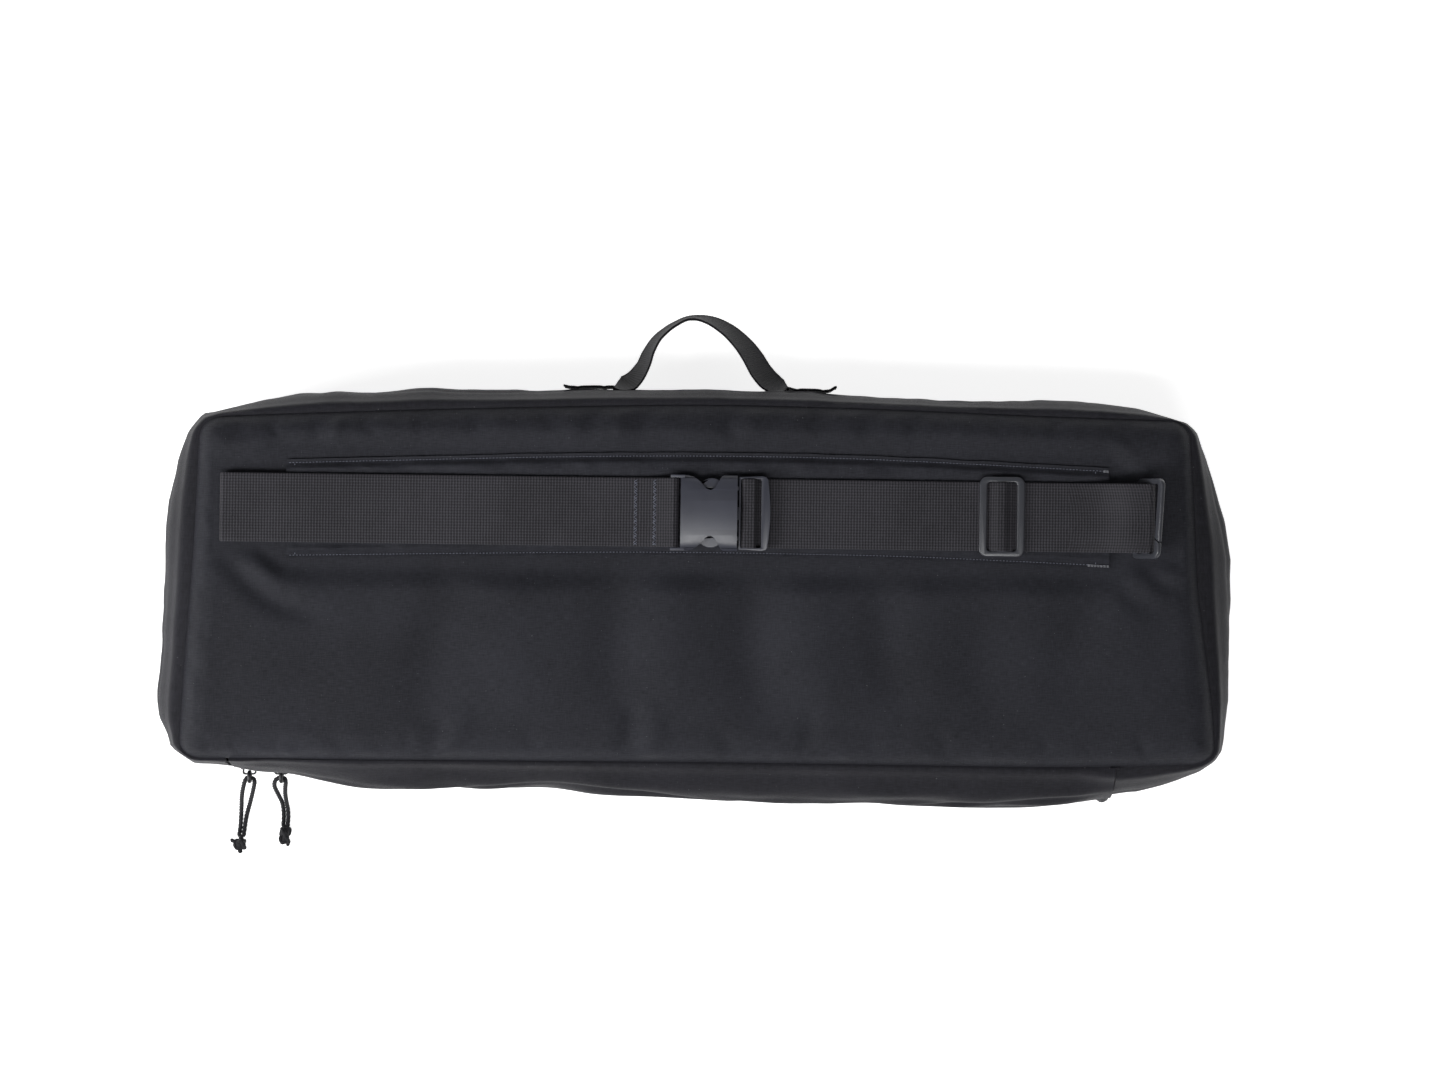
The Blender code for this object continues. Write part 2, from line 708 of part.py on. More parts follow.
def build_pull(side_name, x):
    pin = build_slider(side_name, x)
    swivel = axis_empty(f"pull_{side_name}_axis", pin)
    tube(f"pull_ring_{side_name}", ring_points(pin), RING_WIRE_R, "slider", swivel, 0, True, 1)
    for leg in ("outer", "inner"):
        route = CORD_ROUTES[f"{side_name}_{leg}"]
        tube(f"pull_cord_{side_name}_{leg}", route, CORD_D / 2, "cord", swivel, CORD_D)
    build_knot(side_name, swivel)


# The belt and its sleeve


def web_prism(path, thickness=WEB_T, width=BELT_W):
    """Webbing whose length follows a path of (x, z) points."""
    half = width / 2
    return extrude_profile(thick_path(path, thickness), BELT_Y - half, BELT_Y + half, along_y)


def belt_axis():
    """The empty that turns the whole belt a little askew on the bag."""
    turned = axis_empty("belt_axis", (0.0, BELT_Y, 0.0))
    turned.rotation_euler.z = math.radians(BELT_TURN)
    return turned


def build_sleeve(belt):
    """The channel sewn on the front panel that the belt runs through: open at both ends."""
    low = BELT_Y - BELT_W / 2 - SLEEVE_MARGIN_LOW
    high = BELT_Y + BELT_W / 2 + SLEEVE_MARGIN_HIGH
    base = DEPTH + GAP
    roof = SLEEVE_Z
    profile = [
        (low, base), (low + SLEEVE_HEM, base), (low + SLEEVE_HEM + SLEEVE_RISE, roof),
        (high - SLEEVE_HEM - SLEEVE_RISE, roof), (high - SLEEVE_HEM, base), (high, base),
        (high, base + SLEEVE_T), (high - SLEEVE_HEM, base + SLEEVE_T),
        (high - SLEEVE_HEM - SLEEVE_RISE, roof + SLEEVE_T), (low + SLEEVE_HEM + SLEEVE_RISE, roof + SLEEVE_T),
        (low + SLEEVE_HEM, base + SLEEVE_T), (low, base + SLEEVE_T),
    ]
    bm = extrude_profile(profile, SLEEVE_LEFT, SLEEVE_RIGHT, along_x)
    add_object("belt_sleeve", bm, "shell", belt)


def build_left_run(belt):
    """From the sleeve's mouth round the left fold, over the front and round the buckle's bar."""
    low = BACK_RUN_Z + WEB_T / 2
    high = UPPER_Z + WEB_T / 2
    radius = (high - low) / 2
    fold_x = BELT_LEFT + radius + WEB_T / 2
    bar_x = BUCKLE_LEFT - EAR_L + BAR_INSET
    bar_z = LOWER_Z + BUCKLE_T / 2
    turn = arc(fold_x, low + radius, radius, 270, 90, 8)
    over = arc(bar_x, bar_z, BAR_TURN_R, 118, -118, 8)
    path = [(SLEEVE_LEFT - SLEEVE_PAST, low)] + turn + [(bar_x - 0.024, high)] + over
    path += [(bar_x - 0.014, LOWER_Z + WEB_T * 0.62), (bar_x - TURN_BACK, LOWER_Z + WEB_T / 2)]
    add_object("belt_left_run", web_prism(path), "webbing", belt)


def build_right_run(belt):
    """The front run right of the buckle, the tail that comes back under it, and the raised fold."""
    start = BUCKLE_RIGHT + MALE_GAP + MALE_SLOT + 0.004
    upper = UPPER_Z + WEB_T / 2
    add_object("belt_right_run", web_prism([(start, upper), (RIGHT_RISE_X - GAP, upper)]), "webbing", belt)
    lower = LOWER_Z + WEB_T / 2
    tail_end = SLIDE_X - SLIDE_L / 2 - SLIDE_TRAVEL - 0.004
    add_object("belt_tail", web_prism([(start, lower), (tail_end, lower)]), "webbing", belt)
    centre_x, centre_z, loop_r = gate_centre()
    turn = arc(centre_x, centre_z, loop_r, 112, -100, 10)
    path = [(RIGHT_RISE_X + GAP, upper), (RIGHT_RISE_X + 0.016, upper + 0.0022),
            (centre_x - 0.016, centre_z + loop_r * 0.35)] + turn
    path += [(centre_x - 0.0050, centre_z - 0.0052), (centre_x - 0.0105, centre_z - 0.0080),
             (centre_x - 0.0155, centre_z - 0.0128), (SLEEVE_RIGHT + SLEEVE_PAST, BACK_RUN_Z + WEB_T / 2)]
    add_object("belt_right_fold", web_prism(path), "webbing", belt)
    back = BACK_RUN_Z + WEB_T / 2
    run = [(SLEEVE_LEFT - SLEEVE_PAST + GAP, back), (SLEEVE_RIGHT + SLEEVE_PAST - GAP, back)]
    add_object("belt_back_run", web_prism(run), "webbing", belt)


def gate_centre():
    """Centre bar of the hook slide, and the radius of the webbing's turn round it."""
    rise = SLIDE_L / 2 * math.sin(math.radians(GATE_TILT))
    return (GATE_X, DEPTH + rise + 0.0022, SLIDE_CENTRE_BAR / 2 + WEB_T / 2 + 0.0010)


def rounded_rect(half_l, half_w, radius, steps=3):
    corners = ((half_l, half_w, 0), (-half_l, half_w, 90), (-half_l, -half_w, 180), (half_l, -half_w, 270))
    points = []
    for x, y, start in corners:
        cx = x - math.copysign(radius, x)
        cy = y - math.copysign(radius, y)
        points += arc(cx, cy, radius, start, start + 90, steps)
    return points


def slide_frame(name, centre, tilt, parent, split=False):
    """A three-bar slide: a rounded frame with two windows, and on the hook slide a cut through one long bar."""
    half_l, half_w = SLIDE_L / 2, SLIDE_W / 2
    bm = extrude_profile(rounded_rect(half_l, half_w, SLIDE_CORNER), -SLIDE_T / 2, SLIDE_T / 2, along_z)
    window_half = (SLIDE_L / 2 - SLIDE_BAR - SLIDE_CENTRE_BAR / 2) / 2
    window_x = SLIDE_CENTRE_BAR / 2 + window_half
    lean = -math.radians(tilt)

    def turned(shape):
        for vert in shape.verts:
            x, y, z = vert.co
            vert.co = (
                centre[0] + x * math.cos(lean) + z * math.sin(lean),
                centre[1] + y,
                centre[2] - x * math.sin(lean) + z * math.cos(lean),
            )
        return shape

    frame = add_object(name, turned(bm), "plastic", parent)
    bevelled(frame, SLIDE_EDGE)
    reach = SLIDE_T
    for side in (-1, 1):
        outline_points = rounded_rect(window_half, half_w - SLIDE_END, 0.0010, 2)
        points = [(x + side * window_x, y) for x, y in outline_points]
        cutter = turned(extrude_profile(points, -reach, reach, along_z))
        boolean(frame, add_object(f"{name}_window_{side_word(side)}", cutter, "plastic", parent))
    if split:
        cut_y = -SLIDE_W * SPLIT_SHARE
        wide = GATE_SPLIT
        points = [
            (half_l - SLIDE_BAR - 0.002, cut_y - wide), (half_l + 0.002, cut_y - SPLIT_SLANT - wide),
            (half_l + 0.002, cut_y - SPLIT_SLANT), (half_l - SLIDE_BAR - 0.002, cut_y),
        ]
        cutter = turned(extrude_profile(points, -reach, reach, along_z))
        boolean(frame, add_object(f"{name}_split_tool", cutter, "plastic", parent))
    return frame


def build_slides(belt):
    """The plain slide on the front run with its own hump of webbing, and the hook slide at the right fold."""
    level = MALE_Z + SLIDE_T / 2
    axis = axis_empty("adjuster_axis", (SLIDE_X, BELT_Y, level), belt)
    slide_frame("adjuster_slide", (SLIDE_X, BELT_Y, level), 0.0, axis)
    reach = SLIDE_CENTRE_BAR / 2 + 0.0010 + WEB_T / 2
    top = level + SLIDE_T / 2 + GAP + WEB_T / 2
    low = MALE_Z + GAP + WEB_T / 2
    shoulder = level + SLIDE_T / 2 - GAP
    foot = SLIDE_L / 2 - SLIDE_BAR - WEB_T / 2 - 0.0012
    path = [(SLIDE_X - foot, low), (SLIDE_X - reach, shoulder), (SLIDE_X - reach + 0.0014, top),
            (SLIDE_X + reach - 0.0014, top), (SLIDE_X + reach, shoulder), (SLIDE_X + foot - 0.0010, low)]
    hump = web_prism(path, WEB_T, SLIDE_W - 2 * SLIDE_END - 2 * GAP)
    add_object("adjuster_webbing", hump, "webbing", axis)
    centre_x, centre_z, _ = gate_centre()
    pivot = axis_empty("hook_slide_axis", (centre_x, BELT_Y, centre_z), belt)
    slide_frame("hook_slide", (centre_x, BELT_Y, centre_z), GATE_TILT, pivot, True)


# The buckle


def notch_profile(side):
    """The curved thumb notch in one long edge of the socket, as a closed cutter outline."""
    edge = BELT_Y + side * (BUCKLE_W / 2 + 0.002)
    deep = BELT_Y + side * (BUCKLE_W / 2 - NOTCH_DEPTH)
    near = BELT_Y + side * (BUCKLE_W / 2)
    middle = (NOTCH_LEFT + NOTCH_RIGHT) / 2 + 0.001
    points = [(NOTCH_LEFT - 0.001, edge), (NOTCH_LEFT, near)]
    for i in range(1, 6):
        t = i / 6
        points.append((NOTCH_LEFT + (middle - NOTCH_LEFT) * t, near + (deep - near) * (t * t * (3 - 2 * t))))
    for i in range(6):
        t = i / 6
        share = 1 - t * t * (3 - 2 * t)
        points.append((middle + (NOTCH_RIGHT - middle) * t, near + (deep - near) * share))
    points += [(NOTCH_RIGHT, near), (NOTCH_RIGHT + 0.001, edge)]
    return points


def build_socket(belt):
    """The buckle's socket: a flat shell open towards +X, with a thumb notch in each long edge and a webbing bar."""
    half = BUCKLE_W / 2
    low_z, high_z = LOWER_Z, LOWER_Z + BUCKLE_T
    r = BUCKLE_R
    section = []
    for cy, cz, start in (
        (half - r, high_z - r, 0), (-half + r, high_z - r, 90), (-half + r, low_z + r, 180), (half - r, low_z + r, 270),
    ):
        section += arc(BELT_Y + cy, cz, r, start, start + 90, 3)
    bm = extrude_profile(section, BUCKLE_LEFT, BUCKLE_RIGHT, along_x)
    socket = add_object("buckle_socket", bm, "plastic", belt)
    wall = BUCKLE_WALL
    hollow = box(
        (BUCKLE_LEFT + 0.004, BELT_Y - half + wall, low_z + SOCKET_SKIN),
        (BUCKLE_RIGHT + 0.004, BELT_Y + half - wall, high_z - SOCKET_SKIN),
    )
    boolean(socket, add_object("socket_hollow_tool", hollow, "plastic", belt))
    for side in (-1, 1):
        cutter = extrude_profile(notch_profile(side), low_z - CUTTER_PAST, high_z + CUTTER_PAST, along_z)
        boolean(socket, add_object(f"socket_notch_tool_{side_word(side)}", cutter, "plastic", belt))
    for side in (-1, 1):
        inner = BELT_Y + side * (half - EAR_W)
        outer = BELT_Y + side * half
        y0, y1 = sorted((inner, outer))
        ear = box((BUCKLE_LEFT - EAR_L, y0, low_z + 0.0035), (BUCKLE_LEFT + 0.0025, y1, high_z - 0.0035))
        boolean(socket, add_object(f"socket_ear_tool_{side_word(side)}", ear, "plastic", belt), "UNION")
    bar_x = BUCKLE_LEFT - EAR_L + BAR_INSET
    bar_z = LOWER_Z + BUCKLE_T / 2
    circle = arc(bar_x, bar_z, SOCKET_BAR_R, 0, 324, 9)
    bar = extrude_profile(circle, BELT_Y - half + EAR_W / 2, BELT_Y + half - EAR_W / 2, along_y)
    boolean(socket, add_object("socket_bar_tool", bar, "plastic", belt), "UNION")


def build_insert(belt):
    """The buckle's insert: a frame with a webbing bar, a guide tongue, and two spring arms hinged at their roots."""
    low_z = MALE_Z
    high_z = low_z + MALE_T
    left = BUCKLE_RIGHT + MALE_GAP
    right = left + MALE_L
    half = BUCKLE_W / 2
    frame_points = [
        (left, BELT_Y - half + 0.0008), (right - 0.004, BELT_Y - half), (right - 0.0012, BELT_Y - half + 0.0020),
        (right + INSERT_BOW * 0.5, BELT_Y - half * 0.5), (right + INSERT_BOW, BELT_Y), (right + INSERT_BOW * 0.5, BELT_Y + half * 0.5),
        (right - 0.0012, BELT_Y + half - 0.0020), (right - 0.004, BELT_Y + half), (left, BELT_Y + half - 0.0008),
    ]
    axis = axis_empty("insert_axis", (left, BELT_Y, low_z), belt)
    insert = add_object("buckle_insert", extrude_profile(frame_points, low_z, high_z, along_z), "plastic", axis)
    bevelled(insert, INSERT_EDGE)
    bar_right = left + INSERT_BAR
    slots = ((left + 0.0010, left + 0.0042), (bar_right, bar_right + MALE_SLOT))
    for index, (x0, x1) in enumerate(slots):
        y_half = half - 0.0019
        cutter = box((x0, BELT_Y - y_half, low_z - CUTTER_PAST), (x1, BELT_Y + y_half, high_z + CUTTER_PAST))
        boolean(insert, add_object(f"insert_slot_tool_{index}", cutter, "plastic", axis))
    tongue = box(
        (BUCKLE_LEFT + 0.0085, BELT_Y - TONGUE_W / 2, low_z + 0.0004), (left + 0.0008, BELT_Y + TONGUE_W / 2, high_z - 0.0012)
    )
    boolean(insert, add_object("insert_tongue_tool", tongue, "plastic", axis), "UNION")
    top = high_z + GAP + WEB_T / 2
    x_left = slots[0][1] - WEB_T / 2 - 0.0007
    x_right = slots[1][0] + WEB_T / 2 + 0.0010
    low = MALE_Z + GAP + WEB_T / 2
    path = [(x_left, low), (x_left, high_z - GAP / 2), (x_left + 0.0010, top), (x_right - 0.0010, top),
            (x_right, high_z - GAP / 2), (x_right + 0.0004, low)]
    wrap = web_prism(path, WEB_T, BELT_W)
    add_object("insert_webbing", wrap, "webbing", axis)
    for side, word in ((1, "upper"), (-1, "lower")):
        build_arm(side, word, left, low_z, axis)


def build_arm(side, word, left, low_z, insert_axis):
    """A spring arm: a thin leg from the insert's face, and the pressed pad that shows in the thumb notch."""
    root_y = BELT_Y + side * (BUCKLE_W / 2 - ARM_ROOT_INSET)
    limit = BUCKLE_W / 2 - BUCKLE_WALL - 0.0004
    pad_edge = BELT_Y + side * limit
    axis = axis_empty(f"arm_{word}_axis", (left - 0.0012, root_y, low_z + ARM_LIFT + ARM_T / 2), insert_axis)
    inner = -side * ARM_W / 2
    leg = [
        (left - GAP, root_y - inner), (left - GAP, root_y + inner),
        (0.012, root_y + inner + side * 0.0010), (0.002, root_y + inner + side * 0.0014),
        (NOTCH_LEFT + 0.002, root_y + inner + side * 0.0025), (NOTCH_LEFT + 0.0030, pad_edge - side * 0.0030),
        (0.002, pad_edge - side * 0.0009), (0.0070, pad_edge), (0.0130, pad_edge - side * 0.0002),
        (0.0165, pad_edge - side * 0.0016), (0.0180, root_y - inner + side * 0.0014),
    ]
    bm = extrude_profile(leg, low_z + ARM_LIFT, low_z + ARM_LIFT + ARM_T, along_z)
    add_object(f"spring_arm_{word}", bm, "plastic", axis)


# The handle


def handle_centre(t):
    """Centre line of the handle from its left anchor (0) to its right (1)."""
    along = -math.cos(math.pi * t)
    lift = max(0.0, math.cos(math.pi / 2 * along)) ** 0.8
    x = HANDLE_X + HANDLE_HALF * along
    y = HANDLE_Y + HANDLE_STAND + HANDLE_REACH * lift
    return Vector((x, y, HANDLE_Z - HANDLE_DROOP * lift))


def build_handle():
    """A loop of webbing that stands on edge from the gusset and leans as it goes round, with its two sewn ends."""
    steps = 22
    rings = []
    for i in range(steps + 1):
        t = i / steps
        here = handle_centre(t)
        ahead = (handle_centre(min(1.0, t + 0.01)) - handle_centre(max(0.0, t - 0.01))).normalized()
        lean = math.radians(HANDLE_LEAN + HANDLE_TWIST * math.sin(2 * math.pi * t) ** 2)
        outward = ahead.cross(Vector((0, 0, 1))).normalized()
        if outward.y < 0:
            outward = -outward
        across = (Vector((0, 0, 1)) * math.cos(lean) - outward * math.sin(lean)).normalized()
        across = (across - ahead * across.dot(ahead)).normalized()
        flat = ahead.cross(across).normalized()
        a = across * HANDLE_W / 2
        b = flat * WEB_T / 2
        rings.append([here + a + b, here - a + b, here - a - b, here + a - b])
    axis = axis_empty("handle_axis", (HANDLE_X, HANDLE_Y + HANDLE_STAND, HANDLE_Z + HANDLE_W / 2))
    add_object("handle_webbing", loft(rings), "webbing", axis)
    base = HANDLE_Y + TAB_GAP
    for side, word in ((-1, "left"), (1, "right")):
        inner = HANDLE_X + side * (HANDLE_HALF + TAB_INSET)
        outer = inner + side * TAB_LENGTH
        low_x, high_x = sorted((inner, outer))
        half = HANDLE_W / 2
        bm = box((low_x, base, HANDLE_Z - half), (high_x, base + WEB_T, HANDLE_Z + half))
        add_object(f"handle_end_{word}", bm, "webbing")


def build():
    clear_scene()
    build_panels()
    build_gusset()
    build_zip_gusset()
    build_pull("left", SLIDER_LEFT_X)
    build_pull("right", SLIDER_RIGHT_X)
    belt = belt_axis()
    build_sleeve(belt)
    build_left_run(belt)
    build_right_run(belt)
    build_slides(belt)
    build_socket(belt)
    build_insert(belt)
    build_handle()


build()
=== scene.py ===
"""Padded carry bag with a buckled belt: its fabric, webbing, cords and hardware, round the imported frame.

Metres, +Z up. The bag lies on its back, +X runs along it and +Y points to the grab handle.
"""

import logging
import math
from collections.abc import Callable, Sequence
from dataclasses import dataclass
from enum import Enum

import bmesh
import bpy
import numpy as np
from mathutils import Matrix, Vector, noise

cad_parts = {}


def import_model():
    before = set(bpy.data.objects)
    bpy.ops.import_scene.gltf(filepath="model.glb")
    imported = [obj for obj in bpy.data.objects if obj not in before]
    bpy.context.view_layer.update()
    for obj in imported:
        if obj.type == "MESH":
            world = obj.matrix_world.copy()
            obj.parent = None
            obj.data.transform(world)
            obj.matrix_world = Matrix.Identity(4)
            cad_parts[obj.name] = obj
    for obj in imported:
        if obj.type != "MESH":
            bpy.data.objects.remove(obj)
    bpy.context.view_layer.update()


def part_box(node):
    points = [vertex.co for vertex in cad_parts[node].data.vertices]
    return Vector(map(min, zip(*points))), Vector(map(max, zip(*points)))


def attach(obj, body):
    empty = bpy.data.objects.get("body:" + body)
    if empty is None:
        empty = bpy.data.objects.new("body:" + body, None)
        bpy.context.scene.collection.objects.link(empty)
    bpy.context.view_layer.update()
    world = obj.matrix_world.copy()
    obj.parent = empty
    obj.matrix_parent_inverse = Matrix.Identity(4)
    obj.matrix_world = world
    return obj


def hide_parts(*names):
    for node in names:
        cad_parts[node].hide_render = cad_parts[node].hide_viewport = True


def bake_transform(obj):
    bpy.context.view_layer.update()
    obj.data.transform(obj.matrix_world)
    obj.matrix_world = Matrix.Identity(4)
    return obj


LOG = logging.getLogger("bag")
CLOTH_MAP = "cloth"  # UV map of a piece's threads, in metres along and across
GAP = 0.0003

Point = tuple[float, float, float]
Profile = Sequence[tuple[float, float]]
Colour = tuple[float, float, float]


# Shader graphs


class Value:
    """A socket that adds its Math nodes as it is used in an expression."""

    def __init__(self, graph: "Graph", socket: bpy.types.NodeSocket) -> None:
        """Wraps a socket of a graph."""
        self.graph = graph
        self.socket = socket

    def math(self, operation: str, *values: "Value | float") -> "Value":
        """Adds a Math node."""
        places = dict(enumerate(values))
        return self.graph.add("ShaderNodeMath", {"operation": operation}, places)

    def __add__(self, other: "Value | float") -> "Value":
        """self + other."""
        return self.math("ADD", self, other)

    def __radd__(self, other: float) -> "Value":
        """other + self."""
        return self.math("ADD", other, self)

    def __sub__(self, other: "Value | float") -> "Value":
        """self - other."""
        return self.math("SUBTRACT", self, other)

    def __rsub__(self, other: float) -> "Value":
        """other - self."""
        return self.math("SUBTRACT", other, self)

    def __mul__(self, other: "Value | float") -> "Value":
        """self * other."""
        return self.math("MULTIPLY", self, other)

    def __rmul__(self, other: float) -> "Value":
        """other * self."""
        return self.math("MULTIPLY", other, self)

    def __pow__(self, power: float) -> "Value":
        """self ** power."""
        return self.math("POWER", self, power)

    def wave(self) -> "Value":
        """The sine of the value in turns, from 0 to 1."""
        return self.math("SINE", self * (2 * math.pi)) * 0.5 + 0.5

    def step(self, low: float, high: float) -> "Value":
        """A smooth step from 0 at low to 1 at high."""
        settings = {"interpolation_type": "SMOOTHSTEP"}
        places = {"Value": self, "From Min": low, "From Max": high}
        return self.graph.add("ShaderNodeMapRange", settings, places)


class Graph:
    """A material and its node tree, with one method that adds a node of any type."""

    def __init__(self, name: str) -> None:
        """Makes an empty material with a Principled shader.

        Args:
            name: the material's name.
        """
        self.material = bpy.data.materials.new(name)
        self.material.use_nodes = True
        self.tree = self.material.node_tree
        self.shader = self.tree.nodes["Principled BSDF"]

    def add(self, kind: str, settings: dict, places: dict, output: int | str = 0) -> Value:
        """Adds a node.

        Args:
            kind: the node's type.
            settings: attributes that are set first; "stops" gives a ramp's colours.
            places: what goes into each socket, by name or number.
            output: which of its outputs is wanted.

        Returns:
            That output.
        """
        node = self.tree.nodes.new(kind)
        for key, value in settings.items():
            if key == "stops":
                self.set_stops(node.color_ramp, value)
            else:
                setattr(node, key, value)
        for key, value in places.items():
            if isinstance(value, Value):
                self.tree.links.new(value.socket, node.inputs[key])
            else:
                node.inputs[key].default_value = value
        return Value(self, node.outputs[output])

    @staticmethod
    def set_stops(ramp: bpy.types.ColorRamp, stops: Sequence[tuple[float, Colour]]) -> None:
        """Gives a ramp its colours.

        Args:
            ramp: the ramp, which starts with two stops.
            stops: each stop's position and colour.
        """
        for extra in range(len(stops) - len(ramp.elements)):
            ramp.elements.new(0.5 + 0.01 * extra)
        for element, (position, colour) in zip(ramp.elements, stops):
            element.position = position
            element.color = (*colour, 1.0)

    def threads(self, mapped: bool = True) -> tuple[Value, Value]:
        """The place on the cloth, in metres along and across its threads.

        Args:
            mapped: whether the piece carries a cloth map; without one its own X and Y are used.
        """
        where = self.add("ShaderNodeUVMap", {"uv_map": CLOTH_MAP}, {}) if mapped else self.place()
        split = self.add("ShaderNodeSeparateXYZ", {}, {0: where})
        across = Value(self, split.socket.node.outputs[1])
        return split, across

    def place(self) -> Value:
        """The place on a piece, in metres."""
        return self.add("ShaderNodeTexCoord", {}, {}, "Object")

    def at(self, along: Value | float, across: Value | float, third: Value | float = 0.0) -> Value:
        """A vector from three values."""
        return self.add("ShaderNodeCombineXYZ", {}, {0: along, 1: across, 2: third})

    def noise(self, vector: Value, scale: float, detail: float = 3.0, rough: float = 0.55) -> Value:
        """Noise from 0 to 1."""
        places = {"Vector": vector, "Scale": scale, "Detail": detail, "Roughness": rough}
        return self.add("ShaderNodeTexNoise", {}, places)

    def blend(self, factor: Value, first: Colour, second: Colour | Value) -> Value:
        """Mixes two colours."""
        one = first if isinstance(first, Value) else (*first, 1.0)
        two = second if isinstance(second, Value) else (*second, 1.0)
        return self.add("ShaderNodeMix", {"data_type": "RGBA"}, {0: factor, 6: one, 7: two}, 2)

    def bump(self, height: Value, distance: float, strength: float = 1.0) -> None:
        """Roughens the shader's normal."""
        places = {"Height": height, "Distance": distance, "Strength": strength}
        self.dress("Normal", self.add("ShaderNodeBump", {}, places))

    def dress(self, socket: str, value: Value | float | Colour) -> None:
        """Sets or links a socket of the shader.

        Args:
            socket: the socket's name.
            value: a number, a colour or a value of this graph.
        """
        place = self.shader.inputs[socket]
        if isinstance(value, Value):
            self.tree.links.new(value.socket, place)
        elif isinstance(value, tuple):
            place.default_value = (*value, 1.0)
        else:
            place.default_value = value


# Finishes


def shaded(colour: Colour, share: float) -> Colour:
    """A colour made darker or lighter."""
    return tuple(part * share for part in colour)


@dataclass(frozen=True)
class PlainWeave:
    """Tight plain-woven shell fabric with slubs, a little lint and a faint sheen."""

    name: str
    colour: Colour
    thread: float = 0.00062
    slub: float = 0.30
    roughness: float = 0.62
    sheen: float = 0.05
    lint: float = 1.0
    mapped: bool = True

    def build(self) -> bpy.types.Material:
        """Returns the material."""
        g = Graph(self.name)
        along, across = g.threads(self.mapped)
        warp = (along * (1 / self.thread)).wave()
        weft = (across * (1 / self.thread)).wave()
        over = warp * weft + (1 - warp) * (1 - weft)
        long_slub = g.noise(g.at(along * 0.10, across), 1500.0, 2.0)
        cross_slub = g.noise(g.at(along, across * 0.12), 1300.0, 2.0)
        cloud = g.noise(g.at(along, across, 0.4), 14.0, 4.0)
        shade = over * 0.20 + (long_slub - 0.5) * self.slub * 2.2 + (cross_slub - 0.5) * self.slub * 1.6
        tone = (shade + (cloud - 0.5) * 0.55 + 0.40).step(0.0, 1.0)
        dark = shaded(self.colour, 0.50)
        light = shaded(self.colour, 1.62)
        base = g.blend(tone, dark, light)
        speck = g.noise(g.at(along, across, 3.1), 620.0, 1.0).step(0.765, 0.80) * self.lint
        g.dress("Base Color", g.blend(speck * 0.5, base, (0.16, 0.16, 0.17)))
        g.dress("Roughness", (1 - long_slub) * 0.16 + (self.roughness - 0.08))
        g.dress("Sheen Weight", self.sheen)
        g.dress("Sheen Roughness", 0.45)
        g.dress("Specular IOR Level", 0.15)
        relief = over * 0.55 + long_slub * 0.5 + cross_slub * 0.35
        g.bump(relief, 0.00016, 0.75)
        return g.material


@dataclass(frozen=True)
class RibWeave:
    """Nylon webbing: a grid of crosswise ribs and lengthwise cords."""

    name: str
    colour: Colour
    rib: float = 0.00205
    cord: float = 0.00205
    contrast: float = 0.46

    def build(self) -> bpy.types.Material:
        """Returns the material."""
        g = Graph(self.name)
        along, across = g.threads()
        wander = g.noise(g.at(along * 0.25, across), 260.0, 2.0)
        rib = (along * (1 / self.rib) + wander * 0.35).wave()
        cord = (across * (1 / self.cord)).wave()
        fine = (across * (3 / self.cord) + along * (1 / self.rib)).wave()
        grid = rib * 0.55 + cord * 0.45
        fibre = g.noise(g.at(along, across * 0.3), 2600.0, 2.0)
        cloud = g.noise(g.at(along, across, 1.7), 22.0, 3.0)
        tone = grid * self.contrast + fibre * 0.30 + (cloud - 0.5) * 0.30 + fine * 0.10
        dark = shaded(self.colour, 0.36)
        light = shaded(self.colour, 1.95)
        g.dress("Base Color", g.blend(tone.step(0.08, 0.92), dark, light))
        g.dress("Roughness", fibre * 0.2 + 0.52)
        g.dress("Specular IOR Level", 0.16)
        g.dress("Sheen Weight", 0.03)
        g.bump(grid * 0.8 + fine * 0.15 + fibre * 0.2, 0.00030, 0.8)
        return g.material


@dataclass(frozen=True)
class MouldedPlastic:
    """Acetal buckle plastic with a fine spark-eroded grain and edges painted brighter: a painted highlight."""

    name: str
    colour: Colour
    roughness: float = 0.40
    grain: float = 0.00003

    def build(self) -> bpy.types.Material:
        """Returns the material."""
        g = Graph(self.name)
        place = g.place()
        grain = g.noise(place, 5200.0, 2.0)
        flow = g.noise(place, 120.0, 3.0)
        scuff = g.noise(place, 900.0, 2.0).step(0.62, 0.74)
        # The sharp edges are painted in the lighter colour as a painted highlight along them; the scuffs are
        # wear.
        edge = g.add("ShaderNodeNewGeometry", {}, {}, "Pointiness").step(0.50, 0.60)
        light = shaded(self.colour, 1.7)
        g.dress("Base Color", g.blend(edge * 0.5 + flow * 0.18 + scuff * 0.12, self.colour, light))
        g.dress("Roughness", flow * 0.12 + grain * 0.10 + scuff * 0.10 + (self.roughness - 0.14))
        g.dress("Specular IOR Level", 0.75)
        g.bump(grain, self.grain, 0.6)
        return g.material


@dataclass(frozen=True)
class PaintedMetal:
    """Zinc casting under thin black paint that is rubbed through on its edges."""

    name: str
    paint: Colour
    bare: Colour = (0.16, 0.16, 0.17)

    def build(self) -> bpy.types.Material:
        """Returns the material."""
        g = Graph(self.name)
        place = g.place()
        cast = g.noise(place, 2400.0, 3.0)
        edge = g.add("ShaderNodeNewGeometry", {}, {}, "Pointiness").step(0.54, 0.66)
        worn = (edge * cast * 1.3).step(0.35, 0.6)
        g.dress("Base Color", g.blend(worn, self.paint, self.bare))
        g.dress("Metallic", worn * 0.8 + 0.15)
        g.dress("Roughness", cast * 0.2 + 0.24)
        g.bump(cast, 0.00004, 0.5)
        return g.material


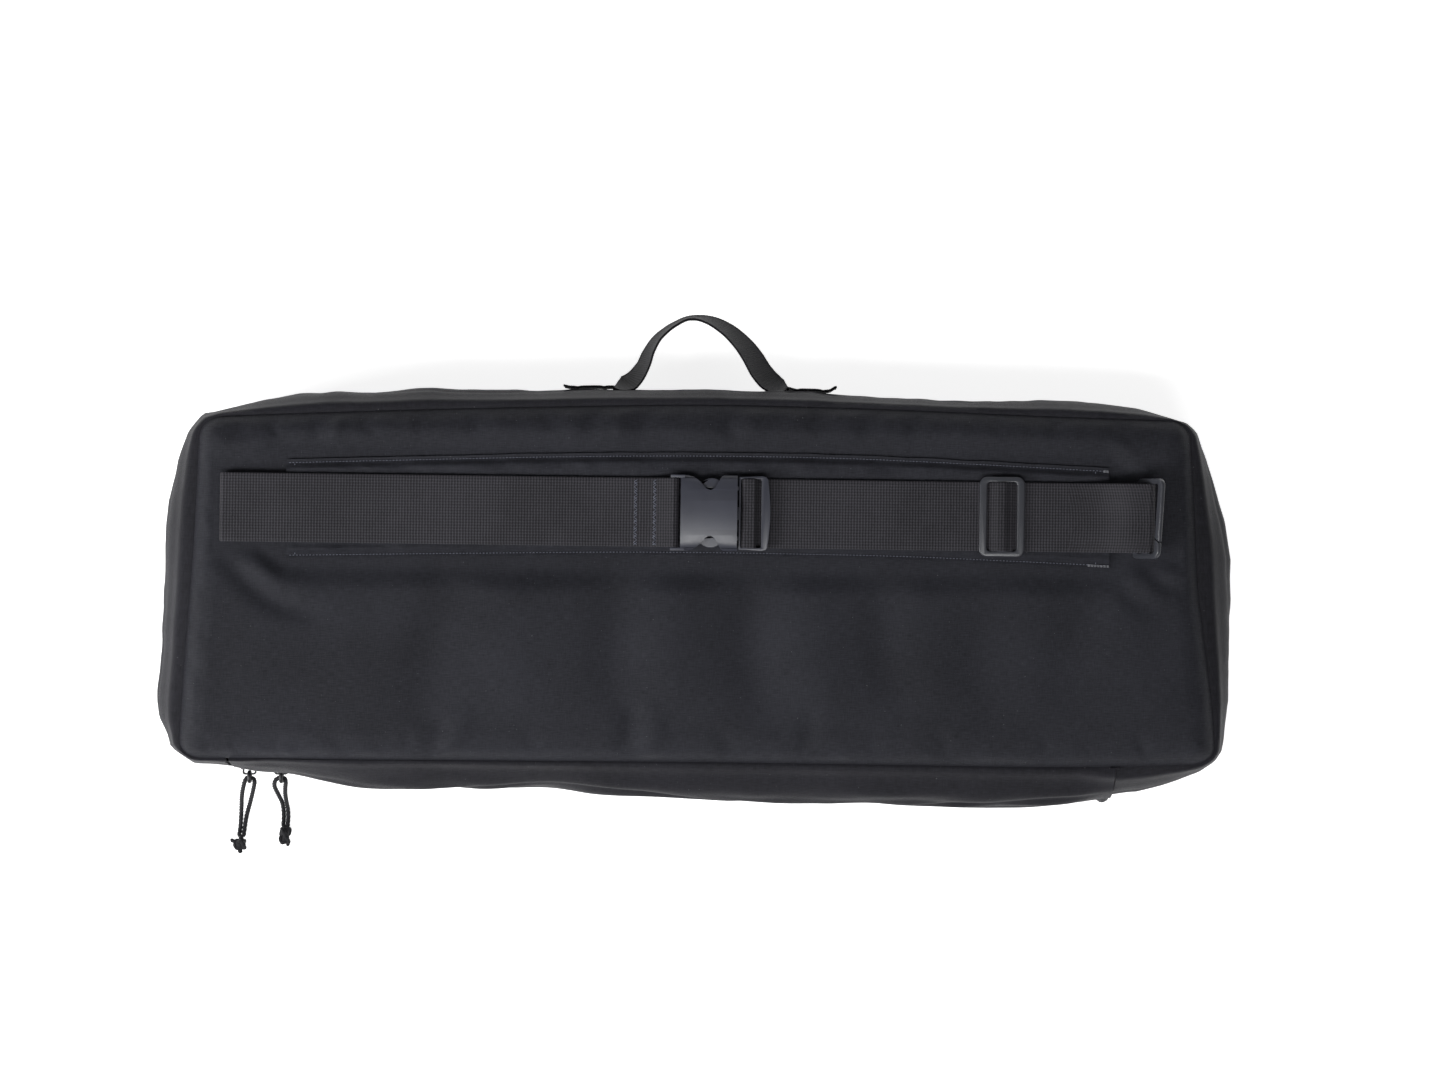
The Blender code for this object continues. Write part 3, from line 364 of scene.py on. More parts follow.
@dataclass(frozen=True)
class Fibre:
    """Spun or braided thread: sewing thread, cord and zip tape."""

    name: str
    colour: Colour
    grain: float = 3000.0
    roughness: float = 0.7
    spread: float = 0.45

    def build(self) -> bpy.types.Material:
        """Returns the material."""
        g = Graph(self.name)
        place = g.place()
        fibre = g.noise(place, self.grain, 3.0)
        cloud = g.noise(place, self.grain * 0.04, 2.0)
        dark = shaded(self.colour, 1 - self.spread)
        light = shaded(self.colour, 1 + self.spread)
        g.dress("Base Color", g.blend((fibre * 0.7 + cloud * 0.3).step(0.3, 0.7), dark, light))
        g.dress("Roughness", fibre * 0.2 + (self.roughness - 0.1))
        g.dress("Specular IOR Level", 0.2)
        g.dress("Sheen Weight", 0.05)
        g.bump(fibre, 0.00008, 0.7)
        return g.material


@dataclass(frozen=True)
class CellFoam:
    """Closed-cell foam sheet with small pores."""

    name: str
    colour: Colour

    def build(self) -> bpy.types.Material:
        """Returns the material."""
        g = Graph(self.name)
        place = g.place()
        places = {"Vector": place, "Scale": 900.0}
        pore = g.add("ShaderNodeTexVoronoi", {"feature": "F1"}, places).step(0.0, 0.5)
        cloud = g.noise(place, 30.0)
        dark = shaded(self.colour, 0.55)
        g.dress("Base Color", g.blend(pore * 0.7 + cloud * 0.3, dark, self.colour))
        g.dress("Roughness", pore * 0.1 + 0.84)
        g.bump(pore, 0.0002, 0.8)
        return g.material


class Finish(Enum):
    """The finishes of the bag, each built once."""

    SHELL = PlainWeave("shell_weave", (0.0200, 0.0205, 0.0262))
    # A darker copy of the shell fabric: painted shade on the gusset, the zip strips and the end seam.
    GUSSET = PlainWeave("gusset_weave_painted_shade", (0.0152, 0.0150, 0.0192))
    LINING = PlainWeave("lining_weave", (0.050, 0.051, 0.058), 0.0005, 0.12, 0.5, 0.1, 0.0, False)
    BELT = RibWeave("belt_webbing_weave", (0.0330, 0.0318, 0.0375))
    HANDLE = RibWeave("handle_webbing_weave", (0.0150, 0.0146, 0.0180), 0.0018, 0.0016, 0.40)
    PLASTIC = MouldedPlastic("buckle_moulding", (0.034, 0.036, 0.050))
    SLIDE = MouldedPlastic("slide_moulding", (0.036, 0.038, 0.046), 0.34)
    METAL = PaintedMetal("slider_paint", (0.012, 0.012, 0.014))
    CORD = Fibre("cord_fibre", (0.0150, 0.0150, 0.0175), 3800.0)
    THREAD = Fibre("blue_grey_thread", (0.150, 0.160, 0.205), 6000.0, 0.55)
    PALE_THREAD = Fibre("pale_thread", (0.24, 0.245, 0.27), 6000.0, 0.55, 0.25)
    DARK_THREAD = Fibre("dark_thread", (0.030, 0.030, 0.036), 6000.0, 0.6)
    TAPE = Fibre("zip_tape_weave", (0.018, 0.018, 0.021), 2600.0, 0.8)
    COIL = MouldedPlastic("zip_coil_nylon", (0.014, 0.014, 0.017), 0.42)
    BINDING = Fibre("binding_weave", (0.022, 0.022, 0.025), 2200.0, 0.8)
    FOAM = CellFoam("foam_cells", (0.21, 0.21, 0.22))

    def material(self) -> bpy.types.Material:
        """The finish's material, made when it is first asked for."""
        found = bpy.data.materials.get(self.value.name)
        return found or self.value.build()


# Mesh tools


def add_piece(name: str, mesh: bpy.types.Mesh, finish: Finish, body: str | None = "bag") -> bpy.types.Object:
    """Puts a mesh in the scene.

    Args:
        name: the piece's name.
        mesh: its mesh, in the row frame.
        finish: what it is made of.
        body: the body it rides on, or None to leave it unattached.

    Returns:
        The new object.
    """
    obj = bpy.data.objects.new(name, mesh)
    bpy.context.scene.collection.objects.link(obj)
    mesh.materials.clear()
    mesh.materials.append(finish.material())
    mesh.shade_smooth()
    if body:
        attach(obj, body)
    return obj


def mesh_from(name: str, points: np.ndarray, faces: list,
              threads: np.ndarray | None = None) -> bpy.types.Mesh:
    """Makes a mesh, with a map of its threads if they are given.

    Args:
        name: the mesh's name.
        points: its points.
        faces: each face's point numbers.
        threads: the place of each point on the cloth.

    Returns:
        The mesh.
    """
    mesh = bpy.data.meshes.new(name)
    mesh.from_pydata(points.tolist(), [], faces)
    if threads is not None:
        layer = mesh.uv_layers.new(name=CLOTH_MAP)
        corners = np.empty(len(mesh.loops), np.int32)
        mesh.loops.foreach_get("vertex_index", corners)
        layer.uv.foreach_set("vector", threads[corners].astype(np.float32).ravel())
    mesh.validate()
    return mesh


def grid_normals(points: np.ndarray) -> np.ndarray:
    """Unit normals of a grid of points, rows by columns by 3, in the grid's shape."""
    normals = np.cross(np.gradient(points, axis=0), np.gradient(points, axis=1))
    return normals / np.maximum(np.linalg.norm(normals, axis=2, keepdims=True), 1e-12)


@dataclass
class Fabric:
    """A patch of cloth with a thickness, drawn as rows of points on its outer face.

    Rows by columns turn round the outward normal, which is rows x columns.
    """

    points: Sequence | np.ndarray
    threads: Sequence | np.ndarray
    thickness: float
    flip: bool = False
    crease: float = 55.0  # edges over this many degrees stay sharp

    def mesh(self, name: str) -> bpy.types.Mesh:
        """Builds both faces and the cut edges between them.

        Args:
            name: the mesh's name.

        Returns:
            The mesh.
        """
        face = np.asarray(self.points, float)
        rows, columns = face.shape[:2]
        side = -1.0 if self.flip else 1.0
        inner = face - side * self.thickness * grid_normals(face)
        under = rows * columns
        number = np.arange(under).reshape(rows, columns)
        quads = np.stack([number[:-1, :-1], number[1:, :-1], number[1:, 1:], number[:-1, 1:]], axis=2)
        outer = quads.reshape(-1, 4)
        rim = np.concatenate([number[0], number[1:, -1], number[-1, -2::-1], number[-2:0:-1, 0]])
        ahead = np.roll(rim, -1)
        edge = np.stack([rim, ahead, ahead + under, rim + under], axis=1)
        if self.flip:
            outer, edge = outer[:, ::-1], edge[:, ::-1]
        faces = np.concatenate([outer, outer[:, ::-1] + under, edge]).tolist()
        points = np.concatenate([face.reshape(-1, 3), inner.reshape(-1, 3)])
        threads = np.concatenate([np.asarray(self.threads, float).reshape(-1, 2)] * 2)
        mesh = mesh_from(name, points, faces, threads)
        mesh.set_sharp_from_angle(angle=math.radians(self.crease))
        return mesh

    def piece(self, name: str, finish: Finish, body: str | None = "bag") -> bpy.types.Object:
        """Builds the cloth as a piece of that name."""
        return add_piece(name, self.mesh(name), finish, body)


def stands_for(piece: bpy.types.Object, slot: str, *nodes: str) -> bpy.types.Object:
    """Hides the frame's nodes that a piece takes the place of, and returns the piece."""
    if nodes:
        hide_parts(*nodes)
    return piece


def ripple(x: np.ndarray, y: np.ndarray | float, *octaves: tuple[float, float, float, float]) -> np.ndarray:
    """Fine unevenness over a grid.

    Args:
        x: places along it.
        y: places across it.
        octaves: each one's weight, its two frequencies and its layer of the noise.

    Returns:
        The sum of the octaves, in the grid's shape.
    """
    x, y = np.broadcast_arrays(x, y)
    total = [
        sum(weight * noise.noise(Vector((u * a, v * b, layer))) for weight, a, b, layer in octaves)
        for u, v in zip(x.ravel(), y.ravel())
    ]
    return np.array(total).reshape(x.shape)


def row(*values: np.ndarray | float) -> np.ndarray:
    """One row of points from their coordinates, any of which may be the same along the row."""
    return np.stack(np.broadcast_arrays(*values), axis=1)


def bell(value: np.ndarray | float, middle: float | np.ndarray, width: float) -> np.ndarray:
    """A smooth bump of height 1 at a middle, which has fallen to 1/e a width away."""
    return np.exp(-(((value - middle) / width) ** 2))


def smoothstep(value: np.ndarray | float, low: float, high: float) -> np.ndarray:
    """A smooth step of numbers from 0 at low to 1 at high."""
    t = np.clip((np.asarray(value, float) - low) / (high - low), 0, 1)
    return t * t * (3 - 2 * t)


def curve_through(points: Profile, at: np.ndarray) -> np.ndarray:
    """A smooth curve of one value over another.

    Args:
        points: (place, value) pairs, in order.
        at: the places wanted.

    Returns:
        The values there, from a monotone-ish cubic through the pairs.
    """
    x = np.array([p[0] for p in points])
    y = np.array([p[1] for p in points])
    slope = np.gradient(y, x)
    at = np.clip(at, x[0], x[-1])
    i = np.clip(np.searchsorted(x, at, side="right") - 1, 0, len(x) - 2)
    width = x[i + 1] - x[i]
    t = (at - x[i]) / width
    a = (1 + 2 * t) * (1 - t) ** 2 * y[i] + t * (1 - t) ** 2 * width * slope[i]
    return a + t * t * (3 - 2 * t) * y[i + 1] + t * t * (t - 1) * width * slope[i + 1]


def smooth_route(points: Sequence[Point], spacing: float) -> list[Vector]:
    """Points at an even spacing along a Catmull-Rom curve.

    Args:
        points: the route's own points.
        spacing: about how far apart the new ones are.

    Returns:
        The new points, with the route's ends.
    """
    knots = [Vector(p) for p in points]
    knots = [knots[0] * 2 - knots[1]] + knots + [knots[-1] * 2 - knots[-2]]
    dense = []
    for a, b, c, d in zip(knots, knots[1:], knots[2:], knots[3:]):
        for i in range(24):
            t = i / 24
            cubic = (2 * b) + (c - a) * t + (2 * a - 5 * b + 4 * c - d) * t * t
            dense.append(0.5 * (cubic + (3 * b - a - 3 * c + d) * t * t * t))
    dense.append(knots[-2])
    lengths = np.cumsum([0.0] + [(q - p).length for p, q in zip(dense, dense[1:])])
    count = max(2, round(lengths[-1] / spacing))
    table = np.array([tuple(p) for p in dense])
    wanted = np.linspace(0, lengths[-1], count + 1)
    return [Vector([float(np.interp(w, lengths, table[:, axis])) for axis in range(3)]) for w in wanted]


def run_length(points: Sequence[Vector]) -> float:
    """The length of a line through points."""
    return sum((q - p).length for p, q in zip(points, points[1:]))


def swept_rings(path: Sequence[Vector], closed: bool) -> list[tuple[Vector, Vector, Vector]]:
    """A frame at each point of a path that turns no more than it has to.

    Args:
        path: the points.
        closed: whether the last joins the first.

    Returns:
        (point, side, up) at each point.
    """
    count = len(path)
    frames = []
    side = None
    for i, here in enumerate(path):
        before = path[(i - 1) % count] if closed or i else here
        after = path[(i + 1) % count] if closed or i < count - 1 else here
        ahead = (after - before).normalized()
        if side is None:
            seed = Vector((0, 0, 1)) if abs(ahead.z) < 0.8 else Vector((1, 0, 0))
            side = seed.cross(ahead).normalized()
        side = (side - ahead * side.dot(ahead)).normalized()
        frames.append((here, side, ahead.cross(side)))
    return frames


@dataclass(frozen=True)
class Laid:
    """How the strands of a cord lie: their number, how far they stand out and the length of one turn."""

    strands: int = 3
    depth: float = 0.17
    turn: float = 0.0096


def tube_faces(rings: int, sides: int, closed: bool = False, base: int = 0) -> list[list[int]]:
    """The faces of a tube whose points run ring by ring.

    Args:
        rings: how many rings it has.
        sides: points round each ring.
        closed: whether the last ring joins the first; otherwise both ends get a flat face.
        base: the number of its first point.

    Returns:
        Each face's point numbers.
    """
    faces = []
    for i in range(rings if closed else rings - 1):
        near, far = base + i * sides, base + (i + 1) % rings * sides
        for k in range(sides):
            m = (k + 1) % sides
            faces.append([near + k, near + m, far + m, far + k])
    if not closed:
        last = base + (rings - 1) * sides
        faces += [list(range(base, base + sides))[::-1], list(range(last, last + sides))]
    return faces


def cord_mesh(name: str, path: Sequence[Vector], radius: float, lay: Laid, closed: bool = False,
              sides: int = 16) -> bpy.types.Mesh:
    """A round cord whose strands twist round it.

    Args:
        name: the mesh's name.
        path: points close enough together to show the strands.
        radius: the cord's radius.
        lay: how the strands lie.
        closed: whether the path is a loop.
        sides: points round the cord.

    Returns:
        The mesh, with rounded ends where it is open.
    """
    points = []
    frames = swept_rings(path, closed)
    run = 0.0
    for i, (here, side, up) in enumerate(frames):
        run += (here - frames[i - 1][0]).length if i else 0.0
        end = 1.0
        if not closed:
            nearest = min(i, len(frames) - 1 - i)
            end = (0.45, 0.8, 1.0)[min(nearest, 2)]
        for k in range(sides):
            angle = 2 * math.pi * k / sides
            crest = abs(math.cos(lay.strands * (angle - 2 * math.pi * run / lay.turn) / 2))
            reach = radius * end * (1 - lay.depth + 1.7 * lay.depth * crest)
            points.append(here + side * math.cos(angle) * reach + up * math.sin(angle) * reach)
    return mesh_from(name, np.array([tuple(p) for p in points]), tube_faces(len(frames), sides, closed))


class Needlework:
    """Collects stitches, each a short capsule of thread, into one mesh."""

    SIDES = 6
    RINGS = ((-0.5, 0.35), (-0.36, 0.85), (0.0, 1.0), (0.36, 0.85), (0.5, 0.35))

    def __init__(self) -> None:
        """Starts with no stitches."""
        self.points: list[Vector] = []
        self.faces: list[list[int]] = []

    def stitch(self, start: Vector, end: Vector, radius: float, up: Vector) -> None:
        """Adds one stitch.

        Args:
            start: where the thread comes up.
            end: where it goes down.
            radius: the thread's radius.
            up: the cloth's normal there.
        """
        ahead = end - start
        side = ahead.cross(up).normalized()
        rise = side.cross(ahead).normalized()
        middle = (start + end) / 2
        base = len(self.points)
        for share, swell in self.RINGS:
            centre = middle + ahead * share + rise * radius * (0.9 * swell - 0.45)
            for k in range(self.SIDES):
                angle = 2 * math.pi * k / self.SIDES
                self.points.append(
                    centre + (side * math.cos(angle) + rise * math.sin(angle)) * radius * swell
                )
        self.faces += tube_faces(len(self.RINGS), self.SIDES, base=base)

    def run(self, path: Sequence[Vector], pitch: float, share: float, radius: float,
            up: Vector = Vector((0, 0, 1))) -> None:
        """Adds a row of stitches along a line.

        Args:
            path: the line's points.
            pitch: from one stitch to the next.
            share: how much of the pitch the thread shows.
            radius: the thread's radius.
            up: the cloth's normal.
        """
        line = smooth_route([tuple(p) for p in path], pitch) if len(path) > 2 else [
            path[0].lerp(path[1], i / max(1, round((path[1] - path[0]).length / pitch)))
            for i in range(max(1, round((path[1] - path[0]).length / pitch)) + 1)
        ]
        for p, q in zip(line, line[1:]):
            self.stitch(p, p.lerp(q, share), radius, up)

    def piece(self, name: str, finish: Finish, body: str | None = "bag") -> bpy.types.Object:
        """Builds the stitches as one piece."""
        table = np.array([tuple(p) for p in self.points])
        return add_piece(name, mesh_from(name, table, self.faces), finish, body)


def upright(u: float, v: float, w: float) -> Point:
    """A point of an outline that lies flat."""
    return (u, v, w)


def extrusion(outline: Profile, low: float, high: float,
              place: Callable[..., Point] = upright) -> bmesh.types.BMesh:
    """A solid from a closed outline.

    Args:
        outline: its (u, v) points.
        low: where it starts along w.
        high: where it ends.
        place: gives the point at (u, v, w).

    Returns:
        The solid, with its faces pointing out.
    """
    bm = bmesh.new()
    ends = [[bm.verts.new(place(u, v, w)) for u, v in outline] for w in (low, high)]
    count = len(outline)
    for i in range(count):
        j = (i + 1) % count
        bm.faces.new((ends[0][i], ends[0][j], ends[1][j], ends[1][i]))
    bm.faces.new(ends[0])
    bm.faces.new(ends[1])
    bmesh.ops.recalc_face_normals(bm, faces=bm.faces)
    return bm


def arc(cx: float, cy: float, radius: float, start: float, end: float, steps: int) -> list:
    """Points on a circle from one angle to another, in degrees."""
    angles = [math.radians(start + (end - start) * i / steps) for i in range(steps + 1)]
    return [(cx + radius * math.cos(a), cy + radius * math.sin(a)) for a in angles]


def rounded_rect(half_l: float, half_w: float, radius: float, steps: int = 8) -> list:
    """The outline of a rectangle with round corners."""
    corners = ((half_l, half_w, 0), (-half_l, half_w, 90), (-half_l, -half_w, 180), (half_l, -half_w, 270))
    points = []
    for x, y, start in corners:
        cx, cy = x - math.copysign(radius, x), y - math.copysign(radius, y)
        points += arc(cx, cy, radius, start, start + 90, steps)
    return points


def placed(x: float, y: float, *steps: tuple[float, float]) -> list[tuple[float, float]]:
    """Points at steps in millimetres from one place."""
    return [(x + u / 1000, y + v / 1000) for u, v in steps]


class Moulding:
    """A hard piece cut and joined from simple solids, then given soft edges."""

    def __init__(self, name: str, solid: bmesh.types.BMesh) -> None:
        """Starts from one solid."""
        self.name = name
        self.obj = self.temporary(solid)

    @staticmethod
    def temporary(solid: bmesh.types.BMesh) -> bpy.types.Object:
        """An object that holds a solid while it is worked on."""
        mesh = bpy.data.meshes.new("work")
        solid.to_mesh(mesh)
        solid.free()
        obj = bpy.data.objects.new("work", mesh)
        bpy.context.scene.collection.objects.link(obj)
        return obj

    def combine(self, solid: bmesh.types.BMesh, operation: str) -> "Moulding":
        """Cuts or joins a solid.

        Args:
            solid: the other solid, which is used up.
            operation: DIFFERENCE or UNION.

        Returns:
            The moulding.
        """
        other = self.temporary(solid)
        modifier = self.obj.modifiers.new("join", "BOOLEAN")
        modifier.operation = operation
        modifier.object = other
        self.apply()
        bpy.data.objects.remove(other, do_unlink=True)
        return self

    def cut(self, solid: bmesh.types.BMesh) -> "Moulding":
        """Takes a solid away."""
        return self.combine(solid, "DIFFERENCE")

    def join(self, solid: bmesh.types.BMesh) -> "Moulding":
        """Adds a solid."""
        return self.combine(solid, "UNION")

    def soften(self, width: float, angle: float = 32.0, segments: int = 3) -> "Moulding":
        """Rounds the sharp edges.

        Args:
            width: the width of the rounding.
            angle: how sharp an edge has to be, in degrees.
            segments: steps across the rounding.

        Returns:
            The moulding.
        """
        modifier = self.obj.modifiers.new("soften", "BEVEL")
        modifier.width = width
        modifier.segments = segments
        modifier.limit_method = "ANGLE"
        modifier.angle_limit = math.radians(angle)
        modifier.harden_normals = False
        self.apply()
        return self

    def apply(self) -> None:
        """Replaces the mesh with what its modifiers make of it."""
        graph = bpy.context.evaluated_depsgraph_get()
        made = bpy.data.meshes.new_from_object(self.obj.evaluated_get(graph))
        self.obj.modifiers.clear()
        self.obj.data = made

    def piece(self, finish: Finish, body: str, sharp: float = 40.0) -> bpy.types.Object:
        """Finishes the moulding as a piece.

        Args:
            finish: what it is made of.
            body: the body it rides on.
            sharp: edges over this many degrees stay sharp.

        Returns:
            The piece.
        """
        mesh = self.obj.data
        bpy.data.objects.remove(self.obj, do_unlink=True)
        mesh.name = self.name
        obj = add_piece(self.name, mesh, finish, body)
        mesh.set_sharp_from_angle(angle=math.radians(sharp))
        return obj


def box(low: Point, high: Point) -> bmesh.types.BMesh:
    """A plain block, used to cut or join."""
    outline = [(low[0], low[1]), (high[0], low[1]), (high[0], high[1]), (low[0], high[1])]
    return extrusion(outline, low[2], high[2])


# The bag's shell


FOLD_DEPTH = 1.6


@dataclass(frozen=True)
class Fold:
    """A crease or swelling: it runs from one point to another and dies away at both ends."""

    start: tuple[float, float]
    end: tuple[float, float]
    width: float
    height: float

    @classmethod
    def millimetres(cls, x0: float, y0: float, x1: float, y1: float, width: float, height: float) -> "Fold":
        """A fold from sizes in millimetres."""
        return cls((x0 / 1000, y0 / 1000), (x1 / 1000, y1 / 1000), width / 1000, height / 1000)

    def relief(self, x: np.ndarray, y: np.ndarray) -> np.ndarray:
        """How far the cloth stands out at each point, in metres."""
        ax, ay = self.start
        dx, dy = self.end[0] - ax, self.end[1] - ay
        square = dx * dx + dy * dy
        t = ((x - ax) * dx + (y - ay) * dy) / square
        length = math.sqrt(square)
        off = ((x - ax) * dy - (y - ay) * dx) / length
        bow = 0.10 * length * np.sin(math.pi * np.clip(t, 0, 1))
        beyond = np.clip(-t, 0, None) + np.clip(t - 1, 0, None)
        along = np.sin(math.pi * np.clip(t * 0.80 + 0.20, 0, 1)) ** 0.8
        across = ((off - bow) / self.width) ** 2
        return FOLD_DEPTH * self.height * along * np.exp(-across - (beyond * length / self.width) ** 2)


@dataclass
class SeamLine:
    """The line on which the front panel is sewn to the gusset, as stations round the bag."""

    corner: float = 0.0135
    step: float = 0.0030
    left: Profile = (
        (-0.1240, -0.3665), (-0.100, -0.3650), (-0.026, -0.3598), (0.021, -0.3560), (0.075, -0.3530),
        (0.1200, -0.3508),
    )
    right: Profile = (
        (-0.1275, 0.3675), (-0.092, 0.3658), (-0.034, 0.3592), (-0.003, 0.3555), (0.039, 0.3535),
        (0.1170, 0.3495),
    )
    top: Profile = (
        (-0.3510, 0.1197), (-0.300, 0.1216), (-0.200, 0.1248), (-0.100, 0.1270), (0.0, 0.1282),
        (0.116, 0.1256), (0.230, 0.1208), (0.3500, 0.1164),
    )
    bottom: Profile = (
        (-0.3665, -0.1215), (-0.250, -0.1228), (-0.100, -0.1240), (0.0, -0.1248), (0.150, -0.1270),
        (0.262, -0.1284), (0.3675, -0.1262),
    )

    def side(self, profile: Profile, start: float, end: float, swap: bool) -> np.ndarray:
        """Points along one side.

        Args:
            profile: the side's own points.
            start: where it begins.
            end: where it ends.
            swap: whether the profile gives x over y.

        Returns:
            Points from start to end.
        """
        count = max(2, round(abs(end - start) / self.step))
        at = np.linspace(start, end, count + 1)
        value = curve_through(profile, at)
        return np.stack([value, at] if swap else [at, value], axis=1)

    def stations(self) -> np.ndarray:
        """The whole line anticlockwise from the zip side's left end."""
        c = self.corner
        reach = 0.3510
        bottom = self.side(self.bottom, -reach, reach, False)
        right = self.side(self.right, -0.1275 + c, 0.1170 - c, True)
        top = self.side(self.top, 0.3360, -0.3360, False)
        left = self.side(self.left, 0.1200 - c, -0.1225 + c, True)
        sides = [bottom, right, top, left]
        corners = [(0.3690, -0.1268), (0.3502, 0.1168), (-0.3512, 0.1200), (-0.3668, -0.1222)]
        line = []
        for index, (points, corner) in enumerate(zip(sides, corners)):
            following = sides[(index + 1) % 4]
            line.append(points)
            share = np.linspace(0, 1, 10)[1:-1, None]
            first, last = points[-1], following[0]
            bend = np.array(corner) * 0.72 + (first + last) / 2 * 0.28
            line.append((1 - share) ** 2 * first + 2 * share * (1 - share) * bend + share**2 * last)
        return np.concatenate(line)

    @staticmethod
    def outward(line: np.ndarray) -> np.ndarray:
        """The line's outward normals, a little smoothed."""
        ahead = np.roll(line, -1, axis=0) - np.roll(line, 1, axis=0)
        normal = np.stack([ahead[:, 1], -ahead[:, 0]], axis=1)
        normal /= np.linalg.norm(normal, axis=1, keepdims=True)
        for _ in range(3):
            normal = (np.roll(normal, 1, axis=0) + normal * 2 + np.roll(normal, -1, axis=0)) / 4
            normal /= np.linalg.norm(normal, axis=1, keepdims=True)
        return normal


# Puckers that the seams and the strap pull into the front panel, and broad swellings of the foam below.
# Each row: start x, y, end x, y, width and height, in millimetres.
FRONT_FOLDS = tuple(Fold.millimetres(*sizes) for sizes in (
    (-262, 121, -268, 86, 5, -1.7), (-250, 120, -252, 92, 5, 1.4), (-300, 118, -292, 104, 4, -0.9),
    (-235, 122, -226, 104, 4.5, -0.8), (-190, 124, -196, 106, 4, -0.9), (-150, 125, -158, 101, 5.5, -1.1),
    (-105, 126, -99, 108, 4, -0.8), (-66, 127, -76, 98, 5, -1.5), (-48, 127, -56, 100, 4.5, 1.2),
    (-30, 127, -40, 99, 5, -1.4), (22, 127, 30, 98, 5.5, -1.5), (40, 127, 44, 102, 4.5, 1),
    (90, 126, 83, 106, 4.5, -0.8), (128, 125, 118, 98, 5, -1.3), (160, 123, 152, 100, 4.5, -1.1),
    (212, 120, 214, 103, 4, -0.7), (258, 118, 250, 102, 4.5, -0.8), (302, 117, 306, 100, 5, -0.9),
    (-196, -122, -176, -92, 6.5, -1.8), (-184, -122, -160, -86, 5.5, 1.4), (-207, -122, -205, -100, 4, -1),
    (-250, -121, -258, -103, 4, -0.7), (-55, -123, -46, -80, 7.5, -2), (-35, -123, -30, -82, 7, 1.4),
    (-115, -122, -121, -100, 4.5, -0.8), (22, -124, 18, -100, 5, -0.9), (72, -125, 80, -82, 7, -1.5),
    (120, -125, 126, -100, 4.5, -0.8), (176, -126, 168, -98, 5, -0.9), (240, -127, 246, -104, 4.5, -0.7),
    (318, -126, 306, -102, 4.5, -0.7), (-334, 44, -354, 62, 4.5, -1.1), (-337, 34, -356, 30, 5, -1),
    (-336, 22, -358, 6, 4.5, -1.2), (-330, 18, -262, -22, 8, -2.2), (-318, 26, -268, 4, 7, 1.6),
    (-330, 86, -284, 98, 8, -1.8), (318, 10, 350, -4, 6, -1.4), (326, 16, 354, 10, 5, 1),
    (322, 82, 346, 94, 5.5, -1.2), (296, 6, 328, -20, 8, -1.3), (-42, 10, -52, -96, 20, -3),
    (-10, 8, -2, -100, 22, 1.6), (46, 8, 58, -108, 19, -2.8), (88, 6, 104, -100, 18, 1.4),
    (136, 2, 152, -98, 17, -2.2), (-168, -5, -190, -110, 19, -2.4), (-130, -10, -120, -100, 24, 1.4),
    (214, -10, 206, -104, 23, -1.6), (282, -6, 268, -96, 20, -1.3), (-262, -30, -276, -104, 21, -1.3),
    (-8, 104, 300, 96, 9, 1), (-240, 100, -30, 110, 8, 1),
))

# How far out the gusset stands, seen from above, anticlockwise from the right end of the zip.
RIM = (
    (0.2870, -0.1533), (0.3157, -0.1490), (0.3446, -0.1397), (0.3590, -0.1339), (0.3705, -0.1262),
    (0.3755, -0.1188), (0.3770, -0.1116), (0.3791, -0.0970), (0.3813, -0.0828), (0.3820, -0.0396),
    (0.3834, 0.0020), (0.3834, 0.0180), (0.3813, 0.0320), (0.3748, 0.0610), (0.3669, 0.0900),
    (0.3590, 0.1095), (0.3568, 0.1116), (0.3505, 0.1168), (0.3446, 0.1180), (0.3157, 0.1268),
    (0.2870, 0.1318), (0.2580, 0.1332), (0.2150, 0.1320), (0.1720, 0.1333), (0.1285, 0.1354),
    (0.0850, 0.1385), (0.0, 0.1405), (-0.0730, 0.1410), (-0.1450, 0.1398), (-0.1880, 0.1424),
    (-0.2315, 0.1395), (-0.2600, 0.1400), (-0.2860, 0.1380), (-0.3147, 0.1321), (-0.3446, 0.1246),
    (-0.3523, 0.1237), (-0.3637, 0.1106), (-0.3720, 0.0900), (-0.3792, 0.0612), (-0.3812, 0.0210),
    (-0.3842, -0.0396), (-0.3878, -0.0828), (-0.3864, -0.0947), (-0.3792, -0.1078), (-0.3771, -0.1156),
    (-0.3583, -0.1281), (-0.3458, -0.1284), (-0.3314, -0.1299), (-0.2896, -0.1341),
)
# The lower edge of the bulge over the zip, which hides the zip from above.
ZIP_RIM = (
    (-0.3330, -0.1300), (-0.3180, -0.1330), (-0.2896, -0.1352), (-0.2640, -0.1395), (-0.2395, -0.1438),
    (-0.2060, -0.1444), (-0.1750, -0.1446), (-0.1450, -0.1458), (-0.1020, -0.1456), (-0.0730, -0.1496),
    (-0.0300, -0.1519), (0.0200, -0.1538), (0.0850, -0.1542), (0.1285, -0.1562), (0.1720, -0.1577),
    (0.2150, -0.1588), (0.2580, -0.1572), (0.2990, -0.1530),
)


